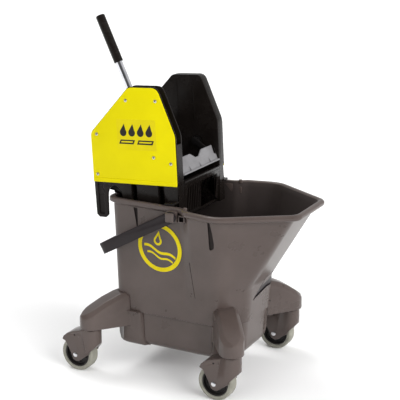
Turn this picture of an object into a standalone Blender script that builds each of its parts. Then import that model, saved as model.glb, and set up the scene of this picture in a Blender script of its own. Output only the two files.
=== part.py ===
"""Wheeled mop bucket with a lift-off down-press wringer.

Metres, +Z up, +X towards the pouring nose, the lever on the -Y side.
The design frame has x = 0 midway between the castor swivel axes, y = 0 on the
centre plane and z = 0 on the floor. The root empty then moves the whole
assembly so that the middle of its footprint lies on the world origin.
"""

import math

import bmesh
import bpy
from mathutils import Matrix, Vector

# ---- clearances -------------------------------------------------------------
TOUCH_GAP = 0.0003      # between pieces that rest on or clip to each other
RUNNING_GAP = 0.0003    # radial, between a turning piece and its bearing
SWING_GAP = 0.0015      # beside a piece that swings past another

# ---- castors ----------------------------------------------------------------
SWIVEL_BASE = 0.328     # rear to front swivel axis
SWIVEL_TRACK = 0.302    # right to left swivel axis
WHEEL_RADIUS = 0.0375
TREAD_WIDTH = 0.027
TYRE_DEPTH = 0.0091     # thickness of the tyre outside the hub
TRAIL = 0.031           # axle behind swivel axis
HOOD_RISE = 0.0235      # from the top of the wheel to the top of the housing
AXLE_RADIUS = 0.004
STEM_RADIUS = 0.0055
SWIVEL_RADIUS = 0.0205  # the upright barrel round the stem
CHEEK_THICK = 0.0042
WHEEL_SIDE_GAP = 0.0022
WHEEL_ROUND_GAP = 0.002
STEM_IN_LEG = 0.026     # how far the stem goes up into a leg
STEM_HEAD = 0.003       # height of the stem's head, and its reach beyond the stem
STEM_WHEEL_GAP = 0.0008  # from the wheel to the stem's head
CASTOR_HEIGHT = 2 * WHEEL_RADIUS + HOOD_RISE

# ---- bucket -----------------------------------------------------------------
WALL = 0.0035
BASE_Z = 0.056          # underside of the bucket
LEDGE_Z = 0.133         # where the lower body steps in
LEDGE_STEP = 0.005
NOSE_ROOT_Z = 0.206     # where the nose starts to flare
RIM_Z = 0.380
REAR_REACH = 0.137      # rear wall at the rim, behind x = 0
JOG_X = 0.039           # the sides step outward here
JOG_RUN = 0.022
SHOULDER_X = 0.129      # the sides turn in towards the nose here
NOSE_REACH = 0.262
NOSE_ROOT_REACH = 0.160
REAR_HALF = 0.112       # half widths of the rim wall
JOG_HALF = 0.126
JOG_OUT = 0.017
SHOULDER_HALF = 0.156
NOSE_HALF = 0.066
NOSE_ROOT_HALF = 0.058
SIDE_DRAFT = 0.030      # inward slope of the side walls, as a ratio
REAR_DRAFT = 0.018
SHOULDER_LEAN = 0.010   # the shoulder's move back from the rim to the ledge
NOSE_LOW_DRAFT = 0.070  # slope of the front wall below the nose
BASE_ROUND = 0.018      # rounding between the lower walls and the base
REAR_CORNER = 0.026     # corner rounding, as the cut along each side
JOG_CORNER = 0.007
SHOULDER_CORNER = 0.024
NOSE_CORNER = 0.014
LEDGE_RISE = 0.0015     # height that the ledge steps in over
GROOVE_DEPTH = 0.0016
BEAD_DEPTH = 0.014      # height of the rolled rim
BEAD_REACH = 0.0085
FLANGE_REACH = 0.006    # the flatter rim behind the jog

# ---- round label on the right side ------------------------------------------
STICKER_X = -0.0168
STICKER_Z = 0.287
STICKER_RADIUS = 0.0523
STICKER_THICK = 0.0005
STICKER_GAP = 0.0007    # the wall is slightly twisted, and the label bridges it

# ---- legs -------------------------------------------------------------------
LEG_UNDER_Z = CASTOR_HEIGHT + 0.001
LEG_HALF = 0.025
LEG_TIP_Z = 0.128
LEG_TOP_Z = 0.176
LEG_CHAMFER = 0.008
LEG_PAD = 0.008         # thickness of the pad that hugs the body
SWEEP_GAP = 0.002       # round the castor as it swivels

# ---- bail handle ------------------------------------------------------------
BAIL_X = JOG_X - 0.016
BAIL_Z = RIM_Z - 0.017
BAIL_WIDTH = 0.024
BAIL_THICK = 0.0045
BAIL_DROOP = math.radians(28.7)
BAIL_CORNER = 0.020
BAIL_PIN_RADIUS = 0.005
BAIL_SIDE_GAP = 0.013   # from the widest rim beside it to the strip
PIN_DEPTH = 0.0100      # how far a bail pin goes into its lug

# ---- wringer ----------------------------------------------------------------
WRINGER_BACK = 0.0415   # rear edge of the wringer behind the bucket's rear wall
WRINGER_LIFT = 0.0273   # lower edge of the covers above the rim, at the rear
WRINGER_LEAN = math.radians(2.92)
PLATE_LENGTH = 0.200
SHOULDER_W = 0.102      # height where the side plates start to narrow
PLATE_HEIGHT = 0.199
TOP_REAR = 0.096        # the flat top runs between these two
TOP_FRONT = 0.163
CASING_WIDTH = 0.024
CASING_WALL = 0.0035
WRINGER_SIDE_GAP = 0.007  # from the bucket's inner wall to a casing, at the rear
COVER_THICK = 0.0021
COVER_INSET = 0.0015
COVER_LIP = 0.009
SKIRT_DEPTH = 0.075
SKIRT_START = 0.066
HOOK_LENGTH = 0.078
HOOK_WIDTH = 0.031
HOOK_THICK = 0.005
HOOK_SPRING = -0.031    # where the arch over the rim springs, and its rise
HOOK_ARCH = 0.023
PIVOT_U = 0.1483        # lever pivot, from the rear lower corner of a cover
PIVOT_W = 0.0567
SCREW_HEAD = 0.0034
SCREW_SHANK = 0.0017
LONG_SCREW = 0.012
SHORT_SCREW = 0.0030
BOSS_RADIUS = 0.0040
BASKET_THICK = 0.004
BASKET_SLOT_PITCH = 0.0105
BASKET_SLOT_WIDTH = 0.0048
SPRING_WIRE = 0.0012    # radius of the wire
SPRING_COIL = 0.0115    # radius of the coil

# ---- lever and press --------------------------------------------------------
LEVER_BACK = math.radians(22.0)   # lean of the lever inside the wringer frame
LEVER_SWING = math.radians(75.0)
TUBE_RADIUS = 0.0072
TUBE_END = 0.300        # far end of the tube from the pivot
GRIP_RADIUS = 0.0094
GRIP_LENGTH = 0.101
TUBE_START = 0.016      # near end of the tube, inside the hub's socket
SOCKET_END = 0.034      # both from the pivot, as are the tube's ends
SOCKET_START = 0.0135
SOCKET_WALL = 0.0012
LEVER_BOSS_RADIUS = 0.0145
SHAFT_RADIUS = 0.007
BUSH_WALL = 0.003
BUSH_FLANGE = 0.002
ARM_THICK = 0.004
ARM_EYE_RADIUS = 0.0095
PRESS_THICK = 0.0035
PRESS_FOOT_REACH = 0.005

# ---- colours ----------------------------------------------------------------
GREY_PLASTIC = (0.115, 0.100, 0.094, 1)
BLACK_PLASTIC = (0.020, 0.018, 0.018, 1)
YELLOW = (0.90, 0.80, 0.005, 1)
PALE_GREY = (0.36, 0.36, 0.38, 1)
RUBBER_GREY = (0.40, 0.40, 0.37, 1)
STEEL = (0.62, 0.62, 0.64, 1)
CHROME = (0.75, 0.75, 0.80, 1)

SIDES = {"right": -1, "left": 1}
ENDS = {"rear": -1, "front": 1}


# ---- scene helpers ----------------------------------------------------------
def clear_scene():
    for old in list(bpy.data.objects):
        bpy.data.objects.remove(old, do_unlink=True)


def make_material(name, color, roughness, metallic=0.0):
    material = bpy.data.materials.new(name)
    material.use_nodes = True
    shader = material.node_tree.nodes["Principled BSDF"]
    shader.inputs["Base Color"].default_value = color
    shader.inputs["Roughness"].default_value = roughness
    shader.inputs["Metallic"].default_value = metallic
    return material


def make_empty(name, parent=None, location=(0, 0, 0), turn_y=0.0):
    empty = bpy.data.objects.new(name, None)
    bpy.context.collection.objects.link(empty)
    empty.parent = parent
    empty.location = location
    empty.rotation_euler = (0, turn_y, 0)
    empty.empty_display_size = 0.02
    return empty


def make_mesh(name, points, faces):
    mesh = bpy.data.meshes.new(name)
    mesh.from_pydata([tuple(point) for point in points], [], faces)
    edit = bmesh.new()
    edit.from_mesh(mesh)
    bmesh.ops.recalc_face_normals(edit, faces=edit.faces)
    edit.to_mesh(mesh)
    edit.free()
    return mesh


def place(name, mesh, material, parent, location=(0, 0, 0), turn_y=0.0):
    piece = bpy.data.objects.new(name, mesh)
    bpy.context.collection.objects.link(piece)
    mesh.materials.clear()
    mesh.materials.append(material)
    mesh.shade_smooth()
    mesh.set_sharp_from_angle(angle=math.radians(32))
    piece.parent = parent
    piece.location = location
    piece.rotation_euler = (0, turn_y, 0)
    return piece


def combine(mesh, others, operation):
    """The mesh after a Boolean with each of the other meshes, one at a time."""
    for other in others:
        body = bpy.data.objects.new("body", mesh)
        tool = bpy.data.objects.new("tool", other)
        for helper in (body, tool):
            bpy.context.collection.objects.link(helper)
        change = body.modifiers.new("change", "BOOLEAN")
        change.operation = operation
        change.solver = "EXACT"
        change.object = tool
        graph = bpy.context.evaluated_depsgraph_get()
        mesh = tidy_mesh(bpy.data.meshes.new_from_object(body.evaluated_get(graph)))
        for helper in (body, tool):
            bpy.data.objects.remove(helper, do_unlink=True)
    return mesh


def tidy_mesh(mesh):
    edit = bmesh.new()
    edit.from_mesh(mesh)
    bmesh.ops.remove_doubles(edit, verts=edit.verts, dist=0.000002)
    bmesh.ops.dissolve_degenerate(edit, edges=edit.edges, dist=0.000002)
    bmesh.ops.triangulate(edit, faces=edit.faces)
    edit.to_mesh(mesh)
    edit.free()
    return mesh


def unite(mesh, *others):
    return combine(mesh, others, "UNION")


def cut(mesh, *others):
    return combine(mesh, others, "DIFFERENCE")


def keep_inside(mesh, other):
    return combine(mesh, [other], "INTERSECT")


# ---- shape helpers ----------------------------------------------------------
def loft(name, rings):
    """A closed solid through rings of equal count, with flat end faces."""
    count = len(rings[0])
    points = [point for ring in rings for point in ring]
    faces = [list(range(count))[::-1]]
    for level in range(len(rings) - 1):
        low = level * count
        for i in range(count):
            j = (i + 1) % count
            faces.append([low + i, low + j, low + count + j, low + count + i])
    last = (len(rings) - 1) * count
    faces.append([last + i for i in range(count)])
    return make_mesh(name, points, faces)


def turned(name, profile, segments, ring=False):
    """A solid turned about Z from (radius, height) points. A ring closes on itself."""
    points, rows = [], []
    for radius, height in profile:
        if radius < 1e-7:
            rows.append([len(points)] * segments)
            points.append((0, 0, height))
            continue
        rows.append([len(points) + i for i in range(segments)])
        for i in range(segments):
            angle = 2 * math.pi * i / segments
            points.append((radius * math.cos(angle), radius * math.sin(angle), height))
    pairs = list(zip(rows, rows[1:]))
    if ring:
        pairs.append((rows[-1], rows[0]))
    faces = []
    for low, high in pairs:
        for i in range(segments):
            j = (i + 1) % segments
            face = list(dict.fromkeys([low[i], low[j], high[j], high[i]]))
            if len(face) > 2:
                faces.append(face)
    return make_mesh(name, points, faces)


def along_y(mesh, y=0.0):
    """The mesh with its +Z axis turned to +Y, then moved by y."""
    mesh.transform(Matrix.Translation((0, y, 0)) @ Matrix.Rotation(-math.pi / 2, 4, "X"))
    return mesh


def moved(mesh, x=0.0, y=0.0, z=0.0):
    mesh.transform(Matrix.Translation((x, y, z)))
    return mesh


def plate(name, outline, y_low, y_high):
    """An outline of (x, z) points made into a plate between two y values."""
    low, high = min(y_low, y_high), max(y_low, y_high)
    rings = [[(x, y, z) for x, z in outline] for y in (low, high)]
    return loft(name, rings)


def block(name, low, high):
    outline = [(low[0], low[2]), (high[0], low[2]), (high[0], high[2]), (low[0], high[2])]
    return plate(name, outline, low[1], high[1])


def arc(centre, radius, start, end, steps):
    """Points on an arc, with angles in degrees."""
    points = []
    for i in range(steps + 1):
        angle = math.radians(start + (end - start) * i / steps)
        points.append((centre[0] + radius * math.cos(angle), centre[1] + radius * math.sin(angle)))
    return points


def round_corner(before, corner, after, reach, steps):
    """A corner softened by a curve that starts and ends at the given reach from it."""
    corner = Vector(corner)
    start = corner + (Vector(before) - corner).normalized() * reach
    end = corner + (Vector(after) - corner).normalized() * reach
    points = []
    for i in range(steps + 1):
        t = i / steps
        points.append(start * (1 - t) ** 2 + corner * 2 * t * (1 - t) + end * t ** 2)
    return points


def rounded(outline):
    """A closed outline from (x, y, reach, steps); a reach of 0 keeps the corner sharp."""
    points = []
    for i, (x, y, reach, steps) in enumerate(outline):
        if reach == 0:
            points.append(Vector((x, y)))
            continue
        before = outline[i - 1][:2]
        after = outline[(i + 1) % len(outline)][:2]
        points.extend(round_corner(before, (x, y), after, reach, steps))
    return [tuple(point) for point in points]


def grown(outline, distance):
    """A closed anticlockwise outline of (x, y) points moved outward by a distance."""
    moved_points = []
    for i, point in enumerate(outline):
        before = Vector(outline[i - 1])
        here = Vector(point)
        after = Vector(outline[(i + 1) % len(outline)])
        first = (here - before).normalized()
        second = (after - here).normalized()
        normal_1 = Vector((first.y, -first.x))
        normal_2 = Vector((second.y, -second.x))
        moved_points.append(here + (normal_1 + normal_2) * distance / (1 + normal_1.dot(normal_2)))
    return [tuple(point) for point in moved_points]


# ---- bucket -----------------------------------------------------------------
def mix(first, second, share):
    return first + (second - first) * share


def half_outline(z):
    """The five corners of one side of the outer wall at a height, rear to nose."""
    drop = RIM_Z - z
    flare = max(0.0, (z - LEDGE_Z) / (RIM_Z - LEDGE_Z))
    nose_flare = max(0.0, (z - NOSE_ROOT_Z) / (RIM_Z - NOSE_ROOT_Z))
    below_ledge = SIDE_DRAFT * max(0.0, LEDGE_Z - z)
    below_nose = max(0.0, NOSE_ROOT_Z - z)
    step = LEDGE_STEP if z < LEDGE_Z else 0.0
    ledge_half = REAR_HALF - SIDE_DRAFT * (RIM_Z - LEDGE_Z)
    nose_x = mix(NOSE_ROOT_REACH, NOSE_REACH, nose_flare) - NOSE_LOW_DRAFT * below_nose
    nose_half = mix(NOSE_ROOT_HALF, NOSE_HALF, nose_flare) - SIDE_DRAFT * below_nose
    return [
        (-REAR_REACH + REAR_DRAFT * drop + step, REAR_HALF - SIDE_DRAFT * drop - step),
        (JOG_X, mix(ledge_half + 0.003, JOG_HALF, flare) - below_ledge - step),
        (JOG_X + JOG_RUN, mix(ledge_half + 0.004, JOG_HALF + JOG_OUT, flare) - below_ledge - step),
        (mix(SHOULDER_X - SHOULDER_LEAN, SHOULDER_X, flare) - step,
         mix(ledge_half + 0.003, SHOULDER_HALF, flare) - below_ledge - step),
        (nose_x - step, nose_half - step * 0.5),
    ]


CORNERS = [(REAR_CORNER, 6), (JOG_CORNER, 2), (JOG_CORNER, 2), (SHOULDER_CORNER, 5),
           (NOSE_CORNER, 4)]


def wall_ring(z, outward=0.0):
    """The whole wall outline at a height, as points; the same count at every height."""
    half = half_outline(z)
    corners = [(x, -y) for x, y in half] + [(x, y) for x, y in reversed(half)]
    corners = grown(corners, outward)
    softening = CORNERS + CORNERS[::-1]
    outline = [(x, y, reach, steps) for (x, y), (reach, steps) in zip(corners, softening)]
    smooth = rounded(outline)
    edge = sum(steps + 1 for _, steps in CORNERS[:4])   # the shoulder's last point, right side
    far = len(smooth) - edge - 1
    points = []
    for i, (x, y) in enumerate(smooth):
        points.append((x, y, z))
        if i in (edge - 1, far):
            x_next, y_next = smooth[i + 1]
            points += [(mix(x, x_next, k / 5), mix(y, y_next, k / 5), z) for k in range(1, 5)]
    return points


def side_wall_y(x, z):
    """Half width of the outer wall between the rear corner and the jog."""
    rear, jog = half_outline(z)[:2]
    return mix(rear[1], jog[1], (x - rear[0]) / (jog[0] - rear[0]))


def rim_ring(front, rear, z_front, z_rear):
    """A rim outline whose part behind the jog has its own reach and height."""
    out, flat = wall_ring(RIM_Z, front), wall_ring(RIM_Z, rear)
    points = []
    for (xo, yo, _), (xf, yf, _) in zip(out, flat):
        ahead = xf > JOG_X + JOG_RUN * 0.5
        points.append((xo, yo, z_front) if ahead else (xf, yf, z_rear))
    return points


def base_ring(turn, outward):
    """A ring on the rounding under the lower walls; turn runs from 0, flat, to 90, upright."""
    angle = math.radians(turn)
    inset = BASE_ROUND * (1 - math.sin(angle))
    height = BASE_Z + BASE_ROUND * (1 - math.cos(angle)) - outward * math.cos(angle)
    flat = wall_ring(BASE_Z + BASE_ROUND, outward * math.sin(angle) - inset)
    return [(x, y, height) for x, y, _ in flat]


def wall_heights(top):
    """The heights of the wall's rings from the lower body up to the rim."""
    flare = [mix(NOSE_ROOT_Z, RIM_Z - BEAD_DEPTH, i / 4) for i in range(4)]
    return [LEDGE_Z - LEDGE_RISE, LEDGE_Z, mix(LEDGE_Z, NOSE_ROOT_Z, 0.5), *flare, top]


def bucket_mesh():
    under = RIM_Z - BEAD_DEPTH
    rings = [base_ring(turn, 0.0) for turn in (0, 30, 60)]
    rings += [wall_ring(z) for z in [BASE_Z + BASE_ROUND] + wall_heights(under)]
    rings += [
        rim_ring(BEAD_REACH * 0.55, FLANGE_REACH * 0.8, under, under + 0.003),
        rim_ring(BEAD_REACH * 0.95, FLANGE_REACH, under + 0.0035, under + 0.004),
        rim_ring(BEAD_REACH, FLANGE_REACH, under + 0.0075, RIM_Z - 0.0012),
        rim_ring(BEAD_REACH * 0.8, FLANGE_REACH * 0.8, RIM_Z - 0.0025, RIM_Z),
        rim_ring(BEAD_REACH * 0.35, 0.0, RIM_Z, RIM_Z),
        rim_ring(-WALL * 0.5, -WALL * 0.6, RIM_Z - 0.0008, RIM_Z),
        rim_ring(-WALL, -WALL, RIM_Z - 0.004, RIM_Z - 0.002),
    ]
    rings += [wall_ring(z, -WALL) for z in wall_heights(under)[:0:-1]]
    rings += [wall_ring(z, -WALL) for z in (LEDGE_Z - LEDGE_STEP, BASE_Z + BASE_ROUND)]
    rings += [base_ring(turn, -WALL) for turn in (60, 30, 0)]
    mesh = loft("bucket", rings)
    parts, cutters = [], []
    for side in SIDES.values():
        parts += [bail_lug(side), catch_box(side), rim_stop(side)]
        cutters += [bail_pin_hole(side), catch_pocket(side), *side_grooves(side)]
    mesh = unite(mesh, *parts)
    return cut(mesh, *cutters, nose_gusset())


def envelope(name, outward):
    """The space inside the bucket's outer surface, grown outward or shrunk, up to the bead."""
    rings = [base_ring(turn, outward) for turn in (0, 30, 60)]
    rings += [wall_ring(z, outward)
              for z in [BASE_Z + BASE_ROUND] + wall_heights(RIM_Z - BEAD_DEPTH)]
    return loft(name, rings)


def tapered_bar(name, x_low, x_high, half_low, half_high, z_low, z_high, y_low, y_high):
    """An upright bar whose half width along x changes between its two ends."""
    outline = [(x_low - half_low, z_low), (x_low + half_low, z_low),
               (x_high + half_high, z_high), (x_high - half_high, z_high)]
    return plate(name, outline, y_low, y_high)


def side_grooves(side):
    """Two shallow moulded grooves in a side wall, one each side of the bail."""
    core = envelope("core", -GROOVE_DEPTH)
    under = RIM_Z - BEAD_DEPTH - 0.0015
    rear_x = JOG_X - 0.108
    front_x = SHOULDER_X - 0.018
    bars = [tapered_bar("rear", rear_x + 0.003, rear_x, 0.0012, 0.0042, under - 0.042, under,
                        side * 0.090, side * 0.200),
            tapered_bar("front", front_x + 0.004, front_x - 0.002, 0.0058, 0.0030, under - 0.064,
                        under, side * 0.090, side * 0.200)]
    return [cut(bar, core) for bar in bars]


def nose_gusset():
    """The three-sided recess on the front wall, under the root of the nose."""
    core = envelope("core", -GROOVE_DEPTH)
    high, low = NOSE_ROOT_Z - 0.001, NOSE_ROOT_Z - 0.026
    half = NOSE_ROOT_HALF - 0.008
    points = [(NOSE_ROOT_REACH - 0.03, half, high), (NOSE_ROOT_REACH - 0.03, -half * 0.35, low),
              (NOSE_ROOT_REACH - 0.03, half, low + 0.004)]
    rings = [[(x + shift, y, z) for x, y, z in points] for shift in (0.0, 0.06)]
    return cut(loft("gusset", rings), core)


def rim_half_at(x):
    """Outer edge of the flat rim beside x, behind the jog."""
    return side_wall_y(x, RIM_Z) + FLANGE_REACH


LUG_FACE = rim_half_at(BAIL_X) + BAIL_SIDE_GAP - 0.004
LUG_HALF = 0.011
BAIL_INNER = LUG_FACE + SWING_GAP
BAIL_OUTER = BAIL_INNER + BAIL_THICK


def bail_lug(side):
    """The square boss under the rim that carries a bail pin."""
    root = side_wall_y(BAIL_X - LUG_HALF, BAIL_Z - LUG_HALF) - WALL * 0.5
    return block("lug", (BAIL_X - LUG_HALF, min(side * root, side * LUG_FACE), BAIL_Z - LUG_HALF),
                 (BAIL_X + LUG_HALF, max(side * root, side * LUG_FACE), BAIL_Z + LUG_HALF))


def catch_box(side, inset=0.0, deeper=0.0):
    """The small square box ahead of the bail lug, or with an inset the pocket in its face."""
    low_x = BAIL_X + LUG_HALF + 0.004
    size = 0.014
    face = LUG_FACE - 0.001 + deeper
    root = JOG_HALF + 0.001 if inset == 0.0 else JOG_HALF + 0.006
    return block("catch", (low_x + inset, min(side * root, side * face), BAIL_Z - 0.010 + inset),
                 (low_x + size - inset, max(side * root, side * face), BAIL_Z + 0.004 - inset))


def catch_pocket(side):
    return catch_box(side, inset=0.002, deeper=0.01)


def rim_stop(side):
    """A small knob on the rim at the jog that keeps the wringer from creeping forward."""
    profile = [(0, -0.004), (0.0045, -0.004), (0.0045, 0.0008), (0.0030, 0.0022), (0, 0.0027)]
    x = JOG_X + JOG_RUN * 0.45
    return moved(turned("stop", profile, 12), x, side * (JOG_HALF + 0.004), RIM_Z)


def bail_pin_hole(side):
    radius = BAIL_PIN_RADIUS + TOUCH_GAP
    start = LUG_FACE - PIN_DEPTH - TOUCH_GAP
    low, high = sorted((side * start, side * (LUG_FACE + 0.02)))
    hole = turned("hole", [(0, low), (radius, low), (radius, high), (0, high)], 16)
    return moved(along_y(hole), BAIL_X, 0, BAIL_Z)


def bail_pin_mesh(side):
    """A pin pushed into the lug, with a square head that keeps the bail on."""
    seat = BAIL_OUTER + SWING_GAP * 0.5
    low, high = sorted((side * (LUG_FACE - PIN_DEPTH), side * (seat + 0.001)))
    pin = along_y(turned("pin", [(0, low), (BAIL_PIN_RADIUS, low), (BAIL_PIN_RADIUS, high),
                                 (0, high)], 16))
    half = 0.0095
    rings = []
    for out, size in ((seat, half), (seat + 0.0018, half), (seat + 0.0030, half - 0.0015)):
        rings.append([(-size, side * out, -size), (size, side * out, -size),
                      (size, side * out, size), (-size, side * out, size)])
    return unite(pin, loft("head", rings))


def build_bucket(root, materials):
    place("bucket", bucket_mesh(), materials["grey_plastic"], root)
    for label, side in SIDES.items():
        place(f"bail_pin_{label}", bail_pin_mesh(side), materials["grey_plastic"], root,
              (BAIL_X, 0, BAIL_Z))
    build_sticker(root, materials)


# ---- sticker on the right side ----------------------------------------------
def build_sticker(root, materials):
    """A thin round label that follows the right-hand wall."""
    steps = 28
    points, faces = [], []
    for depth in (STICKER_GAP, STICKER_GAP + STICKER_THICK):
        y = -side_wall_y(STICKER_X, STICKER_Z) - depth
        points.append((STICKER_X, y, STICKER_Z))
        for ring in (0.5, 1.0):
            for x, z in arc((STICKER_X, STICKER_Z), STICKER_RADIUS * ring, 0, 360, steps)[:-1]:
                points.append((x, -side_wall_y(x, z) - depth, z))
    layer = 2 * steps + 1
    for i in range(steps):
        j = (i + 1) % steps
        for start, flip in ((0, False), (layer, True)):
            inner = [start, start + 1 + i, start + 1 + j]
            outer = [start + 1 + i, start + 1 + steps + i, start + 1 + steps + j, start + 1 + j]
            faces += [inner[::-1], outer[::-1]] if flip else [inner, outer]
        edge = 1 + steps
        faces.append([edge + i, layer + edge + i, layer + edge + j, edge + j])
    mesh = make_mesh("sticker", points, faces)
    place("side_sticker", mesh, materials["yellow"], root)


# ---- legs -------------------------------------------------------------------
def leg_anchor(end):
    """A point inside the body, near its corner, that a leg's arm aims at."""
    corners = half_outline(LEDGE_Z)
    if end < 0:
        return corners[0][0] + 0.030, corners[0][1] - 0.028
    return corners[3][0] + 0.001, corners[3][1] - 0.014


def leg_mesh(end):
    """The right-hand leg at one end: an arm, a pad that hugs the body, and a stem socket."""
    socket = Vector((end * SWIVEL_BASE / 2, -SWIVEL_TRACK / 2))
    anchor_x, anchor_half = leg_anchor(end)
    reach = Vector((anchor_x, -anchor_half)) - socket
    length = reach.length
    heading = math.atan2(reach.y, reach.x)
    rings = []
    stations = [-0.98, -0.85, -0.6, -0.3, 0.0, 0.75, 1.5, 2.25, 3.0]
    for station in stations:
        s = station * LEG_HALF if station <= 0 else station * length / 3 * 1.12
        half = LEG_HALF * math.sqrt(max(1 - min(station, 0) ** 2, 0.04))
        share = (s + LEG_HALF) / (length + LEG_HALF)
        top = mix(LEG_TIP_Z, LEG_TOP_Z, math.sin(math.pi / 2 * min(share, 1.0)))
        chamfer = min(LEG_CHAMFER, half * 0.6)
        rings.append([(s, -half, LEG_UNDER_Z), (s, -half, top - chamfer),
                      (s, -half + chamfer, top), (s, half - chamfer, top),
                      (s, half, top - chamfer), (s, half, LEG_UNDER_Z)])
    arm = loft("arm", rings)
    arm.transform(Matrix.Translation((socket.x, socket.y, 0)) @ Matrix.Rotation(heading, 4, "Z"))

    pad = envelope("pad", LEG_PAD)
    inboard, outboard = (0.044, 0.026) if end < 0 else (0.026, 0.026)
    low, high = (-inboard, outboard) if end < 0 else (-outboard, inboard)
    wedge = block("wedge", (0.04, low, BASE_Z + 0.001), (length + 0.045, high, LEDGE_Z + 0.002))
    wedge.transform(Matrix.Translation((socket.x, socket.y, 0)) @ Matrix.Rotation(heading, 4, "Z"))
    pad = keep_inside(pad, wedge)

    sweep = TRAIL + WHEEL_RADIUS - 0.002 + SWEEP_GAP
    swing = turned("swing", [(0, 0), (sweep, 0), (sweep, LEG_UNDER_Z), (0, LEG_UNDER_Z)], 48)
    swing = moved(swing, socket.x, socket.y)
    bore_radius = STEM_RADIUS + RUNNING_GAP
    bore_top = LEG_UNDER_Z + STEM_IN_LEG + TOUCH_GAP
    bore = turned("bore", [(0, 0), (bore_radius, 0), (bore_radius, bore_top), (0, bore_top)], 16)
    bore = moved(bore, socket.x, socket.y)
    body = envelope("body", TOUCH_GAP)
    pad = cut(pad, swing)
    leg = unite(arm, pad)
    return cut(leg, body, bore)


def mirrored_y(mesh):
    twin = mesh.copy()
    twin.transform(Matrix.Scale(-1, 4, (0, 1, 0)))
    twin.flip_normals()
    return twin


def build_legs(root, materials):
    for end_name, end in ENDS.items():
        right = leg_mesh(end)
        left = mirrored_y(right)
        for label, mesh in (("right", right), ("left", left)):
            place(f"leg_{end_name}_{label}", mesh, materials["grey_plastic"], root)


# ---- castors ----------------------------------------------------------------
HUB_RADIUS = WHEEL_RADIUS - TYRE_DEPTH
CHEEK_INNER = TREAD_WIDTH / 2 + WHEEL_SIDE_GAP
CHEEK_OUTER = CHEEK_INNER + CHEEK_THICK
STEM_FOOT_Z = WHEEL_RADIUS + math.sqrt(max(0.0, (WHEEL_RADIUS + STEM_WHEEL_GAP) ** 2
                                            - (TRAIL - STEM_RADIUS - STEM_HEAD) ** 2))


def housing_mesh():
    """The fork, hood and swivel barrel in one moulding, with x = 0 on the swivel axis."""
    axle = -TRAIL
    top = CASTOR_HEIGHT
    outline = [
        (0.003, top - 0.0006), (-0.010, top - 0.0006), (axle + 0.010, top - 0.005),
        (axle - 0.006, top - 0.009), (axle - 0.020, top - 0.015), (axle - 0.029, top - 0.023),
        (axle - 0.032, top - 0.030), (axle - 0.024, top - 0.034), (axle - 0.016, WHEEL_RADIUS + 0.013),
        (axle - 0.0095, WHEEL_RADIUS), (axle - 0.006, WHEEL_RADIUS - 0.010),
        (axle + 0.002, WHEEL_RADIUS - 0.014), (axle + 0.010, WHEEL_RADIUS - 0.012),
        (0.003, WHEEL_RADIUS + 0.006),
    ]
    body = plate("fork", outline, -CHEEK_OUTER, CHEEK_OUTER)
    foot = WHEEL_RADIUS + 0.003
    barrel = turned("barrel", [(0, foot), (SWIVEL_RADIUS, foot), (SWIVEL_RADIUS, top - 0.0012),
                               (SWIVEL_RADIUS - 0.0012, top), (0, top)], 28)
    chamfer = plate("chamfer", [(-0.020, foot - 0.02), (0.04, foot - 0.02),
                                (0.04, WHEEL_RADIUS + 0.0445), (SWIVEL_RADIUS, WHEEL_RADIUS + 0.0285),
                                (-0.0045, WHEEL_RADIUS + 0.001)], -0.05, 0.05)
    body = unite(body, cut(barrel, chamfer))
    room = WHEEL_RADIUS + WHEEL_ROUND_GAP
    wheel_room = turned("room", [(0, -CHEEK_INNER), (room, -CHEEK_INNER), (room, CHEEK_INNER),
                                 (0, CHEEK_INNER)], 36)
    wheel_room = moved(along_y(wheel_room), axle, 0, WHEEL_RADIUS)
    bore = STEM_RADIUS + RUNNING_GAP
    head = STEM_RADIUS + STEM_HEAD + RUNNING_GAP
    step = STEM_FOOT_Z + STEM_HEAD + RUNNING_GAP
    stem_room = turned("stem_room", [(0, 0.02), (head, 0.02), (head, step), (bore, step),
                                     (bore, top + 0.01), (0, top + 0.01)], 16)
    hole = AXLE_RADIUS + RUNNING_GAP
    axle_hole = turned("axle_hole", [(0, -0.05), (hole, -0.05), (hole, 0.05), (0, 0.05)], 12)
    axle_hole = moved(along_y(axle_hole), axle, 0, WHEEL_RADIUS)
    return cut(body, wheel_room, stem_room, axle_hole)


def tyre_mesh():
    half = TREAD_WIDTH / 2
    inner = HUB_RADIUS + TOUCH_GAP
    profile = [(inner, -half * 0.88), (WHEEL_RADIUS - 0.005, -half),
               (WHEEL_RADIUS - 0.0012, -half * 0.78), (WHEEL_RADIUS, -half * 0.45),
               (WHEEL_RADIUS, half * 0.45), (WHEEL_RADIUS - 0.0012, half * 0.78),
               (WHEEL_RADIUS - 0.005, half), (inner, half * 0.88)]
    return along_y(turned("tyre", profile, 32, ring=True))


def hub_mesh():
    half = TREAD_WIDTH / 2
    bore = AXLE_RADIUS + RUNNING_GAP
    profile = [(bore, -half), (0.0085, -half), (0.0100, -half * 0.45), (HUB_RADIUS - 0.004, -half * 0.45),
               (HUB_RADIUS - 0.002, -half * 0.86), (HUB_RADIUS, -half * 0.86),
               (HUB_RADIUS, half * 0.86), (HUB_RADIUS - 0.002, half * 0.86),
               (HUB_RADIUS - 0.004, half * 0.45), (0.0100, half * 0.45), (0.0085, half), (bore, half)]
    return along_y(turned("hub", profile, 28, ring=True))


def axle_mesh():
    head = CHEEK_OUTER + TOUCH_GAP
    profile = [(0, -head - 0.0016), (0.0034, -head - 0.0014), (0.0052, -head), (AXLE_RADIUS, -head),
               (AXLE_RADIUS, head), (0.0052, head), (0.0034, head + 0.0014), (0, head + 0.0016)]
    return along_y(turned("axle", profile, 14))


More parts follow.
